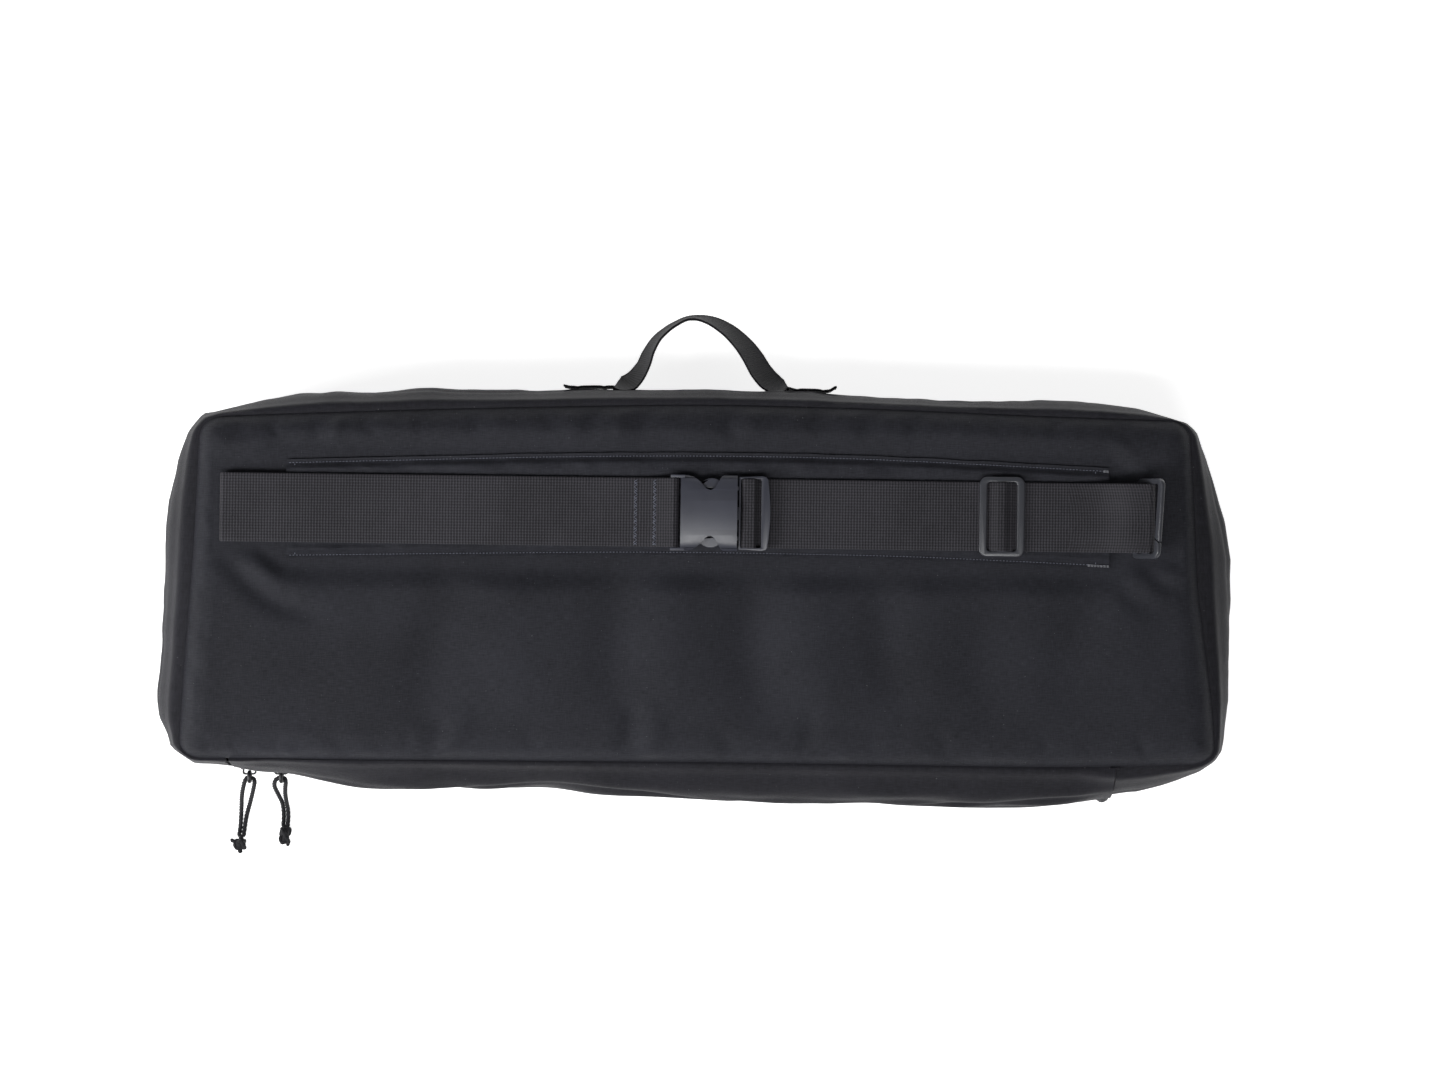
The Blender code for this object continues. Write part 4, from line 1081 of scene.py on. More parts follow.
@dataclass
class Shell:
    """Front and back panels, the gusset between them, and the padding and bindings inside."""

    panel_t: float = 0.0016
    roll: float = 0.014
    groove: float = 0.0012
    columns: int = 270
    rows: int = 120
    gusset_rows: int = 40

    def __post_init__(self) -> None:
        """Reads the levels that the frame gives."""
        low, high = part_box("front_panel")
        self.face_z = high[2]
        self.seam_z = low[2]
        self.foam_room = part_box("front_foam")[1][2] + self.panel_t + 0.0003 - self.face_z
        self.back_seam_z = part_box("back_panel")[1][2]
        self.zip_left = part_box("zip_gusset_left_end")[0][0]
        self.zip_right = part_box("zip_gusset_right_end")[1][0]
        self.line = SeamLine().stations()
        self.normal = SeamLine.outward(self.line)

    @staticmethod
    def graded(count: int, crowd: float) -> np.ndarray:
        """Shares from 0 to 1 that lie closer together at both ends."""
        t = np.linspace(0, 1, count + 1)
        return (1 - crowd) * t + crowd * (t - np.sin(2 * math.pi * t) / (2 * math.pi))

    @staticmethod
    def arc_at(points: np.ndarray, share: np.ndarray) -> np.ndarray:
        """Points on a polyline at shares of its length."""
        run = np.concatenate([[0], np.cumsum(np.linalg.norm(np.diff(points, axis=0), axis=1))])
        return np.stack([np.interp(share * run[-1], run, points[:, k]) for k in (0, 1)], axis=1)

    def grid(self) -> tuple[np.ndarray, np.ndarray]:
        """A grid of points that fills the seam line, and each one's distance from the seam."""
        line = self.line
        corners = [int(np.argmax(sx * line[:, 0] / 0.36 + sy * line[:, 1] / 0.12))
                   for sx, sy in ((-1, -1), (1, -1), (1, 1), (-1, 1))]
        sides = []
        for start, end in zip(corners, corners[1:] + corners[:1]):
            end = end if end > start else end + len(line)
            sides.append(line[np.arange(start, end + 1) % len(line)])
        u, v = self.graded(self.columns, 0.70), self.graded(self.rows, 0.66)
        bottom, right = self.arc_at(sides[0], u), self.arc_at(sides[1], v)
        top, left = self.arc_at(sides[2][::-1], u), self.arc_at(sides[3][::-1], v)
        u, v = u[None, :, None], v[:, None, None]
        grid = (1 - v) * bottom[None] + v * top[None] + (1 - u) * left[:, None] + u * right[:, None]
        low = (1 - u) * bottom[0] + u * bottom[-1]
        high = (1 - u) * top[0] + u * top[-1]
        grid = grid - ((1 - v) * low + v * high)
        flat = grid.reshape(-1, 2)
        depth = np.full(len(flat), 1.0)
        for start, end in zip(line, np.roll(line, -1, axis=0)):
            way = end - start
            share = np.clip((flat - start) @ way / (way @ way), 0, 1)
            depth = np.minimum(depth, np.linalg.norm(flat - start - share[:, None] * way, axis=1))
        return grid, depth.reshape(grid.shape[:2])

    def front_relief(self, x: np.ndarray, y: np.ndarray, depth: np.ndarray) -> np.ndarray:
        """How far the front panel's face stands above or below its plain level."""
        lift = sum(fold.relief(x, y) for fold in FRONT_FOLDS)
        pucker = ripple(x, y, (1.0, 62, 62, 4.0), (0.5, 150, 60, 9.0))
        near_seam = bell(depth, 0.006, 0.010)
        swell = ripple(x, y, (1.0, 14, 10, 1.0))
        lift = lift + pucker * 0.0011 * near_seam + swell * 0.0016 * smoothstep(depth, 0.004, 0.03)
        pillow = 0.0030 * smoothstep(depth, 0.002, 0.020) + 0.0012 * smoothstep(depth, 0.02, 0.06)
        across = y - 0.0515 + 0.0131 * x
        beside_sleeve = 1 - smoothstep(np.abs(x), 0.288, 0.312)
        clear = np.abs(across - 0.001 * beside_sleeve) - 0.0262 - 0.0135 * beside_sleeve
        under_belt = (1 - smoothstep(clear, 0.001, 0.019)) * (1 - smoothstep(np.abs(x), 0.338, 0.350))
        lift = (lift + pillow) * (1 - under_belt) - 0.0006 * under_belt
        return np.maximum(lift, self.foam_room) + 0.00015 * np.minimum(lift - self.foam_room, 0.0) / 0.001

    def panel(self, name: str, front: bool) -> bpy.types.Object:
        """Builds a panel's outer cloth.

        Args:
            name: the piece's name.
            front: True for the front panel, False for the one the bag lies on.

        Returns:
            The piece.
        """
        rows, depth = self.grid()
        x, y = rows[..., 0], rows[..., 1]
        rise = np.clip(depth / self.roll, 0, 1)
        rolled = 1 - (1 - rise) ** 2.6
        settle = smoothstep(depth, 0.0, 0.006)
        if front:
            base = self.seam_z - self.groove + (self.face_z - self.seam_z + self.groove) * rolled
            z = base + self.front_relief(x, y, depth) * settle
        else:
            hollow = 0.0006 * (1 + ripple(x, y, (1.0, 18, 18, 6.0))) * settle * smoothstep(depth, 0.012, 0.03)
            z = (self.back_seam_z + self.groove) * (1 - rolled) + hollow
        points = np.dstack([x, y, z])
        piece = Fabric(points, rows, self.panel_t, flip=front).piece(name, Finish.SHELL)
        stands_for(piece, "shell_fabric", "front_panel" if front else "back_panel")
        return piece

    def rim_reach(self, line: np.ndarray, normal: np.ndarray) -> np.ndarray:
        """How far out the rim lies from each station, along its normal."""
        rim = np.array(RIM)
        out = []
        for here, way in zip(line, normal):
            found = []
            for p, q in zip(rim, rim[1:]):
                edge = q - p
                turn = way[0] * edge[1] - way[1] * edge[0]
                if abs(turn) < 1e-9:
                    continue
                gap = p - here
                distance = (gap[0] * edge[1] - gap[1] * edge[0]) / turn
                share = (gap[0] * way[1] - gap[1] * way[0]) / turn
                if -1e-6 <= share <= 1 + 1e-6 and 0 < distance < 0.06:
                    found.append(distance)
            out.append(min(found) if found else np.nan)
        reach = np.array(out)
        places = np.arange(len(reach))
        known = ~np.isnan(reach)
        return np.interp(places, places[known], reach[known])

    def gusset(self) -> None:
        """Builds the gusset's three lengths, from the right end of the zip round to its left end."""
        bottom = self.line[:, 1] < -0.119
        start = int(np.argmax(bottom & (self.line[:, 0] > self.zip_right)))
        finish = int(np.argmax(bottom & (self.line[:, 0] > self.zip_left)))
        order = np.arange(start, finish + len(self.line)) % len(self.line)
        line, normal = self.line[order], self.normal[order]
        reach = self.rim_reach(line, normal)
        run = np.concatenate([[0], np.cumsum(np.linalg.norm(np.diff(line, axis=0), axis=1))])
        t = np.linspace(0, 1, self.gusset_rows + 1)[:, None]
        high, low = self.seam_z - self.groove, self.back_seam_z + self.groove
        shoulder = 0.0036 * bell(t, 0.045, 0.042) * smoothstep(t, 0, 0.03)
        z = high + (low - high) * t + shoulder
        shape = np.sin(math.pi * t**0.92) ** 0.62
        folds = ripple(run, t, (1.0, 26, 1.2, 2.0), (0.35, 70, 2.5, 5.0))
        folds = folds + ripple(run + t * 1.4 / 9, t, (0.5, 9, 4, 7.0))
        quiet = np.sin(math.pi * t) ** 0.8
        offset = reach[None, :] * shape + folds * 0.0017 * quiet * np.clip(reach[None, :] / 0.012, 0.4, 1.0)
        crease = 0.0016 * np.exp(-(((t - 0.30 - 0.05 * np.sin(run * 21)[None, :]) / 0.035) ** 2))
        offset = offset - crease * (0.5 + 0.5 * np.sin(run * 33)[None, :])
        points = np.dstack([
            line[None, :, 0] + normal[None, :, 0] * offset,
            line[None, :, 1] + normal[None, :, 1] * offset,
            np.broadcast_to(z, offset.shape) + folds * 0.0008 * quiet,
        ])
        threads = np.dstack(np.broadcast_arrays(run[None, :], t * 0.11))
        upper = line[:, 1] > 0.112
        first = int(np.argmax(upper & (line[:, 0] < 0.3475)))
        last = int(np.argmax(upper & (line[:, 0] < -0.3475)))
        spans = {"right": slice(0, first + 1), "top": slice(first, last + 1), "left": slice(last, None)}
        for word, span in spans.items():
            name = f"{word}_gusset_cloth"
            piece = Fabric(points[:, span], threads[:, span], self.panel_t).piece(name, Finish.GUSSET)
            stands_for(piece, "shell_fabric", f"{word}_gusset")

    def padding(self) -> None:
        """Dresses the foam, lining and bindings that the frame already holds."""
        layers = (
            ("foam", Finish.FOAM, "foam"), ("lining", Finish.LINING, "lining_fabric"),
            ("seam_binding", Finish.BINDING, "binding_tape"),
        )
        for layer, finish, slot in layers:
            for face in ("front", "back"):
                self.dress(f"{face}_{layer}", finish, slot)

    @staticmethod
    def dress(node: str, finish: Finish, slot: str) -> bpy.types.Object:
        """Gives a frame's node a finish.

        Args:
            node: the node's name.
            finish: what it is made of.
            slot: not used.

        Returns:
            The node's object.
        """
        obj = bpy.data.objects[node]
        obj.data.materials.clear()
        obj.data.materials.append(finish.material())
        return obj

    def build(self) -> None:
        """Builds and dresses the whole shell."""
        self.panel("front_panel_cloth", True)
        self.panel("back_panel_cloth", False)
        self.gusset()
        self.padding()
        LOG.info("shell: panels, gusset, padding")


# The zip


@dataclass
class Zip:
    """The strips of the gusset over and under the zip, its tapes and coils, and its two sliders."""

    cloth_t: float = 0.0016
    middle: float = 0.0
    bend: float = 0.125
    pitch: float = 0.0014
    out: Profile = (
        (0.0, 0.0), (0.05, 0.13), (0.14, 0.42), (0.28, 0.78), (0.44, 0.97), (0.60, 1.0), (0.76, 0.93),
        (0.88, 0.74),
    )
    tab: Profile = ((0, -0.1290), (0.25, -0.1430), (0.5, -0.1545), (0.75, -0.1520), (1, -0.1340))

    def __post_init__(self) -> None:
        """Reads the zip's places from the frame."""
        tape_low, tape_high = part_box("zip_tape_front")
        self.level = (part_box("zip_coil_front")[0][2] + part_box("zip_coil_rear")[1][2]) / 2
        self.tape_y = (tape_low[1] + tape_high[1]) / 2
        self.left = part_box("zip_gusset_left_end")[0][0]
        self.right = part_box("zip_gusset_right_end")[1][0]
        self.flap = (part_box("zip_gusset_front")[0][0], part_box("zip_gusset_front")[1][0])
        self.edge_y = self.tape_y - 0.0019
        self.lap = tape_low[2] - self.level + 0.0020

    def halves(self) -> list[tuple[str, float, float]]:
        """The two lengths of the front strip and chain: a word, and where each starts and ends."""
        return [("left", self.left, self.middle), ("right", self.middle, self.right)]

    def hinge(self, piece: bpy.types.Object, word: str) -> None:
        """Bakes a half's placing into its mesh; both halves are treated the same.

        Args:
            piece: the half.
            word: left or right.
        """
        if word == "left":
            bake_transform(piece)
        else:
            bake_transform(piece)

    def front_points(self, x: np.ndarray) -> tuple[np.ndarray, np.ndarray]:
        """The bulging strip over the zip, as rows from the seam down to the zip."""
        seam_y = curve_through(SeamLine().bottom, x) + 0.0004
        rim_y = curve_through(ZIP_RIM, x)
        seam_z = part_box("front_panel")[0][2] - 0.0012
        back_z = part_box("back_panel")[1][2] + 0.0012
        edged = 1 - smoothstep(x, self.left, self.left + 0.03) + smoothstep(x, self.right - 0.03, self.right)
        edge_z = self.level + self.lap
        t = np.linspace(0, 1, 45)
        share = curve_through(self.out, np.minimum(t, 0.88))
        rows, threads = [], []
        for k, place in enumerate(t):
            like_gusset = math.sin(math.pi * (place * (seam_z - edge_z) / (seam_z - back_z)) ** 0.92) ** 0.62
            y = seam_y + (rim_y - seam_y) * (share[k] * (1 - edged) + like_gusset * edged)
            if place > 0.88:
                fall = smoothstep(place, 0.86, 1.0)
                y = y * (1 - fall) + self.edge_y * fall
            z = seam_z + (edge_z - seam_z) * place + 0.0034 * bell(place, 0.05, 0.045) * (place > 0)
            quiet = math.sin(math.pi * place) ** 0.8
            long_fold = ripple(x, place * 3.2 + x * 2.2, (1.0, 7, 1, 3.0))
            long_fold = long_fold + ripple(x, place, (0.5, 22, 6, 8.0))
            ledge = 0.0022 * np.exp(-(((place - 0.50 - 0.16 * np.sin(x * 17)) / 0.055) ** 2))
            ends = smoothstep(x, self.left, self.left + 0.05)
            ends = ends * (1 - smoothstep(x, self.right - 0.03, self.right))
            y = y - quiet * (long_fold * 0.0032 * (0.3 + 0.7 * ends) - ledge * ends)
            rows.append(row(x, y, z + quiet * long_fold * 0.0014))
            threads.append(row(x, place * 0.07))
        return np.array(rows), np.array(threads)

    def front_strip(self) -> None:
        """Builds the strip over the zip in two halves that meet in the middle."""
        for word, start, end in self.halves():
            count = round((end - start) / 0.0028)
            points, threads = self.front_points(np.linspace(start, end, count + 1))
            name = f"zip_strip_front_{word}"
            piece = Fabric(points, threads, self.cloth_t).piece(name, Finish.GUSSET, None)
            stands_for(piece, "shell_fabric", "zip_gusset_front", f"zip_gusset_{word}_end")
            self.hinge(piece, word)

    def rear_strip(self) -> None:
        """Builds the strip between the zip and the back panel."""
        x = np.linspace(self.left, self.right, 200)
        seam_y = curve_through(SeamLine().bottom, x)
        low_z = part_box("back_panel")[1][2] + 0.0012
        high_z = self.level - self.lap
        rows, threads = [], []
        for share in np.linspace(0, 1, 18):
            belly = math.sin(math.pi * share**0.8)
            wave = ripple(x, share, (1.0, 16, 2, 5.0))
            y = self.edge_y * (1 - share) + seam_y * share - belly * (0.0012 + 0.0012 * wave)
            rows.append(row(x, y, high_z + (low_z - high_z) * share))
            threads.append(row(x, share * 0.03))
        piece = Fabric(rows, threads, self.cloth_t).piece("zip_strip_rear", Finish.GUSSET)
        stands_for(piece, "shell_fabric", "zip_gusset_rear")

    def tape(self, name: str, start: float, end: float, side: int) -> bpy.types.Object:
        """One length of zip tape with a raised cord along its coil."""
        low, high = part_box("zip_tape_front" if side > 0 else "zip_tape_rear")
        near, far = (low[2], high[2]) if side > 0 else (high[2], low[2])
        x = np.linspace(start, end, max(8, round((end - start) / 0.004)))
        rows, threads = [], []
        for share in np.linspace(0, 1, 9):
            ridge = 0.0004 * bell(share, 0.12, 0.10)
            rows.append(row(x, np.full(x.shape, self.tape_y - 0.0003 - ridge), near + (far - near) * share))
            threads.append(row(x, share * 0.0105))
        return Fabric(rows, threads, 0.0006, flip=side > 0).piece(name, Finish.TAPE, None)

    def coil(self, name: str, start: float, end: float, side: int) -> bpy.types.Object:
        """One length of nylon coil: an oval section that swells at each turn."""
        low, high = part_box("zip_coil_front" if side > 0 else "zip_coil_rear")
        y, z = (low[1] + high[1]) / 2, (low[2] + high[2]) / 2
        half_y, half_z = (high[1] - low[1]) / 2, (high[2] - low[2]) / 2
        turns = max(1, round((end - start) / self.pitch))
        points, sides = [], 8
        for i in range(turns * 4 + 1):
            x = start + (end - start) * i / (turns * 4)
            swell = (0.72, 0.92, 1.0, 0.92)[i % 4]
            for k in range(sides):
                angle = 2 * math.pi * k / sides
                points.append((x + 0.0003 * math.sin(angle) * side, y + half_y * swell * math.cos(angle),
                               z + half_z * swell * math.sin(angle)))
        faces = [face[::-1] for face in tube_faces(turns * 4 + 1, sides)]
        return add_piece(name, mesh_from(name, np.array(points), faces), Finish.COIL, None)

    def chain(self) -> None:
        """Builds the tapes and coils: the front ones in two halves, the rear ones whole."""
        for word, start, end in self.halves():
            tape = self.tape(f"zip_tape_front_{word}", start, end, 1)
            coil = self.coil(f"zip_coil_front_{word}", start, end, 1)
            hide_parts("zip_tape_front", f"zip_tape_{word}_end")
            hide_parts("zip_coil_front", f"zip_coil_{word}_end")
            for piece, slot in ((tape, "zip_tape"), (coil, "zip_coil")):
                self.hinge(piece, word)
        rear_tape = self.tape("zip_tape_rear_whole", self.left, self.right, -1)
        rear_coil = self.coil("zip_coil_rear_whole", self.left, self.right, -1)
        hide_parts("zip_tape_rear")
        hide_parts("zip_coil_rear")
        for piece, slot in ((rear_tape, "zip_tape"), (rear_coil, "zip_coil")):
            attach(piece, "bag")

    def end_tab(self) -> None:
        """The folded seam at the right end of the zip, where the strips are sewn to the gusset."""
        rows, threads = [], []
        for share in np.linspace(0, 1, 26):
            y = float(curve_through(self.tab, share))
            z = 0.0925 - 0.083 * share
            points = []
            for k, across in enumerate(np.linspace(-1, 1, 9)):
                lift = 0.0016 * math.cos(across * math.pi / 2) * math.sin(math.pi * share) ** 0.3
                inset = 0.0005 + 0.0170 * share * (1 - share)
                points.append((self.right - inset + across * 0.0036, y - lift, z))
            rows.append(points)
            threads.append([(share * 0.09, k * 0.0009) for k in range(9)])
        piece = Fabric(rows, threads, 0.0012).piece("zip_end_seam_right", Finish.GUSSET)

    def build(self) -> None:
        """Builds the whole zip and dresses its sliders."""
        self.front_strip()
        self.rear_strip()
        self.chain()
        self.end_tab()
        for side in ("left", "right"):
            Shell.dress(f"slider_{side}", Finish.METAL, "slider_metal")
        LOG.info("zip: strips, tapes, coils, sliders")


# Each pull is a cord doubled through its ring: two legs that start back to back in it and end in the knot.
CORD_ROUTES: dict[str, tuple[Point, ...]] = {
    "left_outer": (
        (-0.32380, -0.1398, 0.0362), (-0.32570, -0.1398, 0.0362), (-0.32730, -0.1425, 0.0347),
        (-0.32980, -0.1490, 0.0272), (-0.33180, -0.1555, 0.0180), (-0.33320, -0.1625, 0.0092),
        (-0.33430, -0.1700, 0.0034), (-0.33500, -0.1780, 0.0020), (-0.33560, -0.1850, 0.0046),
    ),
    "left_inner": (
        (-0.32320, -0.1398, 0.0362), (-0.32130, -0.1398, 0.0362), (-0.32020, -0.1425, 0.0343),
        (-0.32230, -0.1490, 0.0262), (-0.32500, -0.1560, 0.0172), (-0.32800, -0.1635, 0.0088),
        (-0.33040, -0.1705, 0.0034), (-0.33170, -0.1780, 0.0020), (-0.33230, -0.1850, 0.0046),
    ),
    "right_outer": (
        (-0.30080, -0.1398, 0.0362), (-0.30290, -0.1398, 0.0362), (-0.30540, -0.1422, 0.0345),
        (-0.30640, -0.1465, 0.0285), (-0.30500, -0.1525, 0.0202), (-0.30340, -0.1590, 0.0110),
        (-0.30310, -0.1650, 0.0046), (-0.30310, -0.1715, 0.0024), (-0.30330, -0.1778, 0.0046),
    ),
    "right_inner": (
        (-0.30020, -0.1398, 0.0362), (-0.29830, -0.1398, 0.0362), (-0.29770, -0.1428, 0.0340),
        (-0.29890, -0.1478, 0.0270), (-0.29980, -0.1535, 0.0190), (-0.30000, -0.1595, 0.0105),
        (-0.29980, -0.1650, 0.0044), (-0.29980, -0.1715, 0.0024), (-0.30000, -0.1778, 0.0046),
    ),
}


@dataclass
class Pull:
    """One slider's ring, its doubled cord and the stopper knot."""

    side: str
    lumps: tuple[tuple[float, float, float], ...]  # each knot turn: offset along -Y, scale, turn in degrees
    tail: tuple[Point, ...]
    cord_d: float = 0.0028
    wire_r: float = 0.00150
    lay: Laid = Laid()

    def ring(self) -> None:
        """A bent wire ring with round corners."""
        node = f"pull_ring_{self.side}"
        low, high = (Vector(p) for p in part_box(node))
        centre = (low + high) / 2
        half_y = (high.y - low.y) / 2 - self.wire_r
        half_z = (high.z - low.z) / 2 - self.wire_r
        path = []
        for i in range(72):
            angle = 2 * math.pi * i / 72
            c, s = math.cos(angle), math.sin(angle)
            squareness = 0.72
            path.append(Vector((centre.x, centre.y + half_y * math.copysign(abs(c) ** squareness, c),
                                centre.z + half_z * math.copysign(abs(s) ** squareness, s))))
        mesh = cord_mesh(f"{node}_wire", path, self.wire_r, Laid(depth=0.0), True, 12)
        piece = add_piece(f"{node}_wire", mesh, Finish.METAL, f"pull_{self.side}")
        stands_for(piece, "slider_metal", node)

    def knot(self) -> bpy.types.Object:
        """Turns of cord drawn tight into a lump, with the cut tail standing out of it."""
        node = f"pull_knot_{self.side}"
        low, high = (Vector(p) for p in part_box(node))
        centre = (low + high) / 2
        lift = Vector((0, 0.0012, 0))
        parts = bmesh.new()
        for offset, scale, turn in self.lumps:
            middle = centre + lift + Vector((0, -offset, 0))
            heart = bmesh.ops.create_uvsphere(parts, u_segments=20, v_segments=12, radius=0.0038 * scale)
            for vert in heart["verts"]:
                vert.co = middle + Vector((vert.co.x, vert.co.y * 1.1, vert.co.z))
            path = []
            for i in range(150):
                t = 2 * math.pi * i / 150
                x = math.sin(t) + 2 * math.sin(2 * t)
                y = math.cos(t) - 2 * math.cos(2 * t)
                z = -math.sin(3 * t)
                spin = math.radians(turn)
                u = x * math.cos(spin) - y * math.sin(spin)
                v = x * math.sin(spin) + y * math.cos(spin)
                path.append(middle + Vector((u * 0.00132, z * 0.0026, v * 0.00132)) * scale)
            turns = cord_mesh("turns", path, self.cord_d / 2 * 1.02, self.lay, True)
            parts.from_mesh(turns)
        core = smooth_route([tuple(centre + Vector((0.0002, 0.0082, -0.002))), tuple(centre),
                             tuple(centre + Vector((-0.0004, -0.0052, 0.001)))], 0.0006)
        parts.from_mesh(cord_mesh("core", core, self.cord_d * 0.62, self.lay))
        tail = smooth_route([tuple(centre + lift + Vector(p)) for p in self.tail], 0.0006)
        parts.from_mesh(cord_mesh("tail", tail, self.cord_d / 2, self.lay))
        mesh = bpy.data.meshes.new(f"{node}_turns")
        parts.to_mesh(mesh)
        parts.free()
        piece = add_piece(f"{node}_turns", mesh, Finish.CORD, f"pull_{self.side}")
        stands_for(piece, "pull_cord", node)
        return piece

    def legs(self, knot: bpy.types.Object) -> None:
        """Both legs of the doubled cord."""
        for leg in ("outer", "inner"):
            route = CORD_ROUTES[f"{self.side}_{leg}"]
            path = smooth_route(route, 0.00055)
            name = f"pull_{self.side}_leg_{leg}"
            mesh = cord_mesh(name, path, self.cord_d * 0.545, self.lay)
            piece = add_piece(name, mesh, Finish.CORD, f"pull_{self.side}")
            stands_for(piece, "pull_cord", f"pull_cord_{self.side}_{leg}")

    def build(self) -> None:
        """Builds the ring, the knot and the cord."""
        self.ring()
        self.legs(self.knot())
        LOG.info("pull: %s", self.side)


# The belt


@dataclass
class Belt:
    """The webbing belt with its buckle and two slides, and the sleeve it runs through."""

    middle_y: float = 0.0515
    turn: float = math.radians(-0.75)
    web_t: float = 0.0015
    rib: float = 0.00205
    sleeve_left: float = -0.2885
    sleeve_right: float = 0.2910
    thread_r: float = 0.00024
    # Each bartack at the sleeve's right end: its middle, its length and how it leans.
    tacks: tuple[tuple[float, ...], ...] = ((0.2836, 0.0141, 0.0155, -0.05), (0.2890, 0.0806, 0.0040, -0.12))
    socket_bar: float = 0.0024  # from the ears' ends to the middle of the bar
    upper_edge: Profile = (
        (-0.289, 0.0893), (-0.200, 0.0913), (-0.100, 0.0934), (0.0, 0.0940), (0.100, 0.0924),
        (0.200, 0.0880), (0.2915, 0.0830),
    )
    lower_edge: Profile = (
        (-0.289, 0.0193), (-0.150, 0.0208), (-0.040, 0.0215), (0.080, 0.0200), (0.140, 0.0186),
        (0.220, 0.0152), (0.2915, 0.0118),
    )

    def __post_init__(self) -> None:
        """Reads the belt's levels and width from the frame."""
        self.back_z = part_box("belt_back_run")[0][2]
        self.lower_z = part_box("belt_tail")[0][2]
        self.upper_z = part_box("belt_right_run")[0][2]
        self.male_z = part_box("buckle_insert")[0][2]
        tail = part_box("belt_tail")
        self.width = tail[1][1] - tail[0][1] - abs(math.sin(self.turn)) * (tail[1][0] - tail[0][0])
        self.top_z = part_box("buckle_socket")[1][2]

    def turned(self, x: float, y: float, z: float) -> Point:
        """Gives a point drawn on the straight belt its place on the bag."""
        c, s = math.cos(self.turn), math.sin(self.turn)
        v = y - self.middle_y
        return (x * c - v * s, self.middle_y + x * s + v * c, z)

    def web(self, name: str, path: Profile, body: str | None, width: float | None = None,
            fan: float = 0.0, sag: float = 0.00025) -> bpy.types.Object:
        """Webbing along a path of (x, z) points.

        Args:
            name: the piece's name.
            path: the line of its middle.
            body: the body it rides on, or None.
            width: its width, if not the belt's.
            fan: how far its ribs lean across the belt, in metres.
            sag: how far its face is from flat.

        Returns:
            The piece.
        """
        half = (width or self.width) / 2
        line = smooth_route([(x, 0.0, z) for x, z in path], self.rib / 4)
        run = np.arange(len(line)) * (run_length(line) / (len(line) - 1))
        across = half * np.sin(np.linspace(-math.pi / 2, math.pi / 2, 25))
        rows, threads = [], []
        for i, here in enumerate(line):
            ahead = (line[min(i + 1, len(line) - 1)] - line[max(i - 1, 0)]).normalized()
            up = Vector((-ahead.z, 0, ahead.x))
            rib = 0.00010 * math.sin(2 * math.pi * run[i] / self.rib)
            points = []
            for v in across:
                edge = max(0.0, (abs(v) / half - 0.93) / 0.07)
                cord = 0.00006 * math.cos(2 * math.pi * v / self.rib)
                wave = sag * noise.noise(Vector((here.x * 16, v * 12, here.z * 30)))
                lift = (self.web_t / 2 - 0.00016 + rib + cord) - 0.00045 * edge**2 + wave
                point = here + up * lift
                points.append(self.turned(point.x, self.middle_y + v, point.z))
            rows.append(points)
            threads.append([(run[i] + fan * (v / half) * (v / half + 0.4), v) for v in across])
        piece = Fabric(rows, threads, self.web_t - 0.0003).piece(name, Finish.BELT, body)
        return piece

    def left_run(self) -> None:
        """Out of the sleeve, round the left fold, over the front and round the socket's bar."""
        low = self.back_z + self.web_t / 2
        high = self.upper_z + self.web_t / 2
        radius = (high - low) / 2
        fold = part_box("belt_left_run")[0][0] + radius + self.web_t / 2
        bar_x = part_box("buckle_socket")[0][0] + self.socket_bar
        bar_z = (self.lower_z + self.top_z) / 2
        path = [(self.sleeve_left - 0.0035, low), (fold + 0.020, low), (fold + 0.006, low)]
        path += arc(fold, low + radius, radius, 262, 98, 7)
        path += placed(fold, high, (8, 0.1), (60, 0), (150, 0))
        path += placed(bar_x, high, (-70, 0), (-26, 0.1), (-12, 1.8))
        path += arc(bar_x, bar_z, 0.0030, 112, -112, 8) + [(bar_x - 0.012, self.lower_z + self.web_t * 0.66)]
        path += placed(bar_x, self.lower_z + self.web_t / 2, (-20, 0), (-32, 0))
        piece = self.web("belt_left_web", path, "bag")
        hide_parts("belt_left_run")
        work = Needlework()
        half = self.width / 2 - 0.0012
        for x in (bar_x - 0.0268, bar_x - 0.0134):
            count = 13
            level = high + self.web_t / 2 + 0.0001 + (0.0014 if x > bar_x - 0.02 else 0.0)
            for i in range(count * 2):
                y0 = -half + 2 * half * i / (count * 2)
                y1 = -half + 2 * half * (i + 1) / (count * 2)
                swing = 0.0012 if i % 2 else -0.0012
                for lean in (1, -1):
                    start = Vector(self.turned(x - swing * lean, self.middle_y + y0, level))
                    end = Vector(self.turned(x + swing * lean, self.middle_y + y1, level))
                    if lean > 0 or i % 3 == 0:
                        work.stitch(start, end, self.thread_r, Vector((0, 0, 1)))
        work.piece("belt_zigzag_stitching", Finish.THREAD)

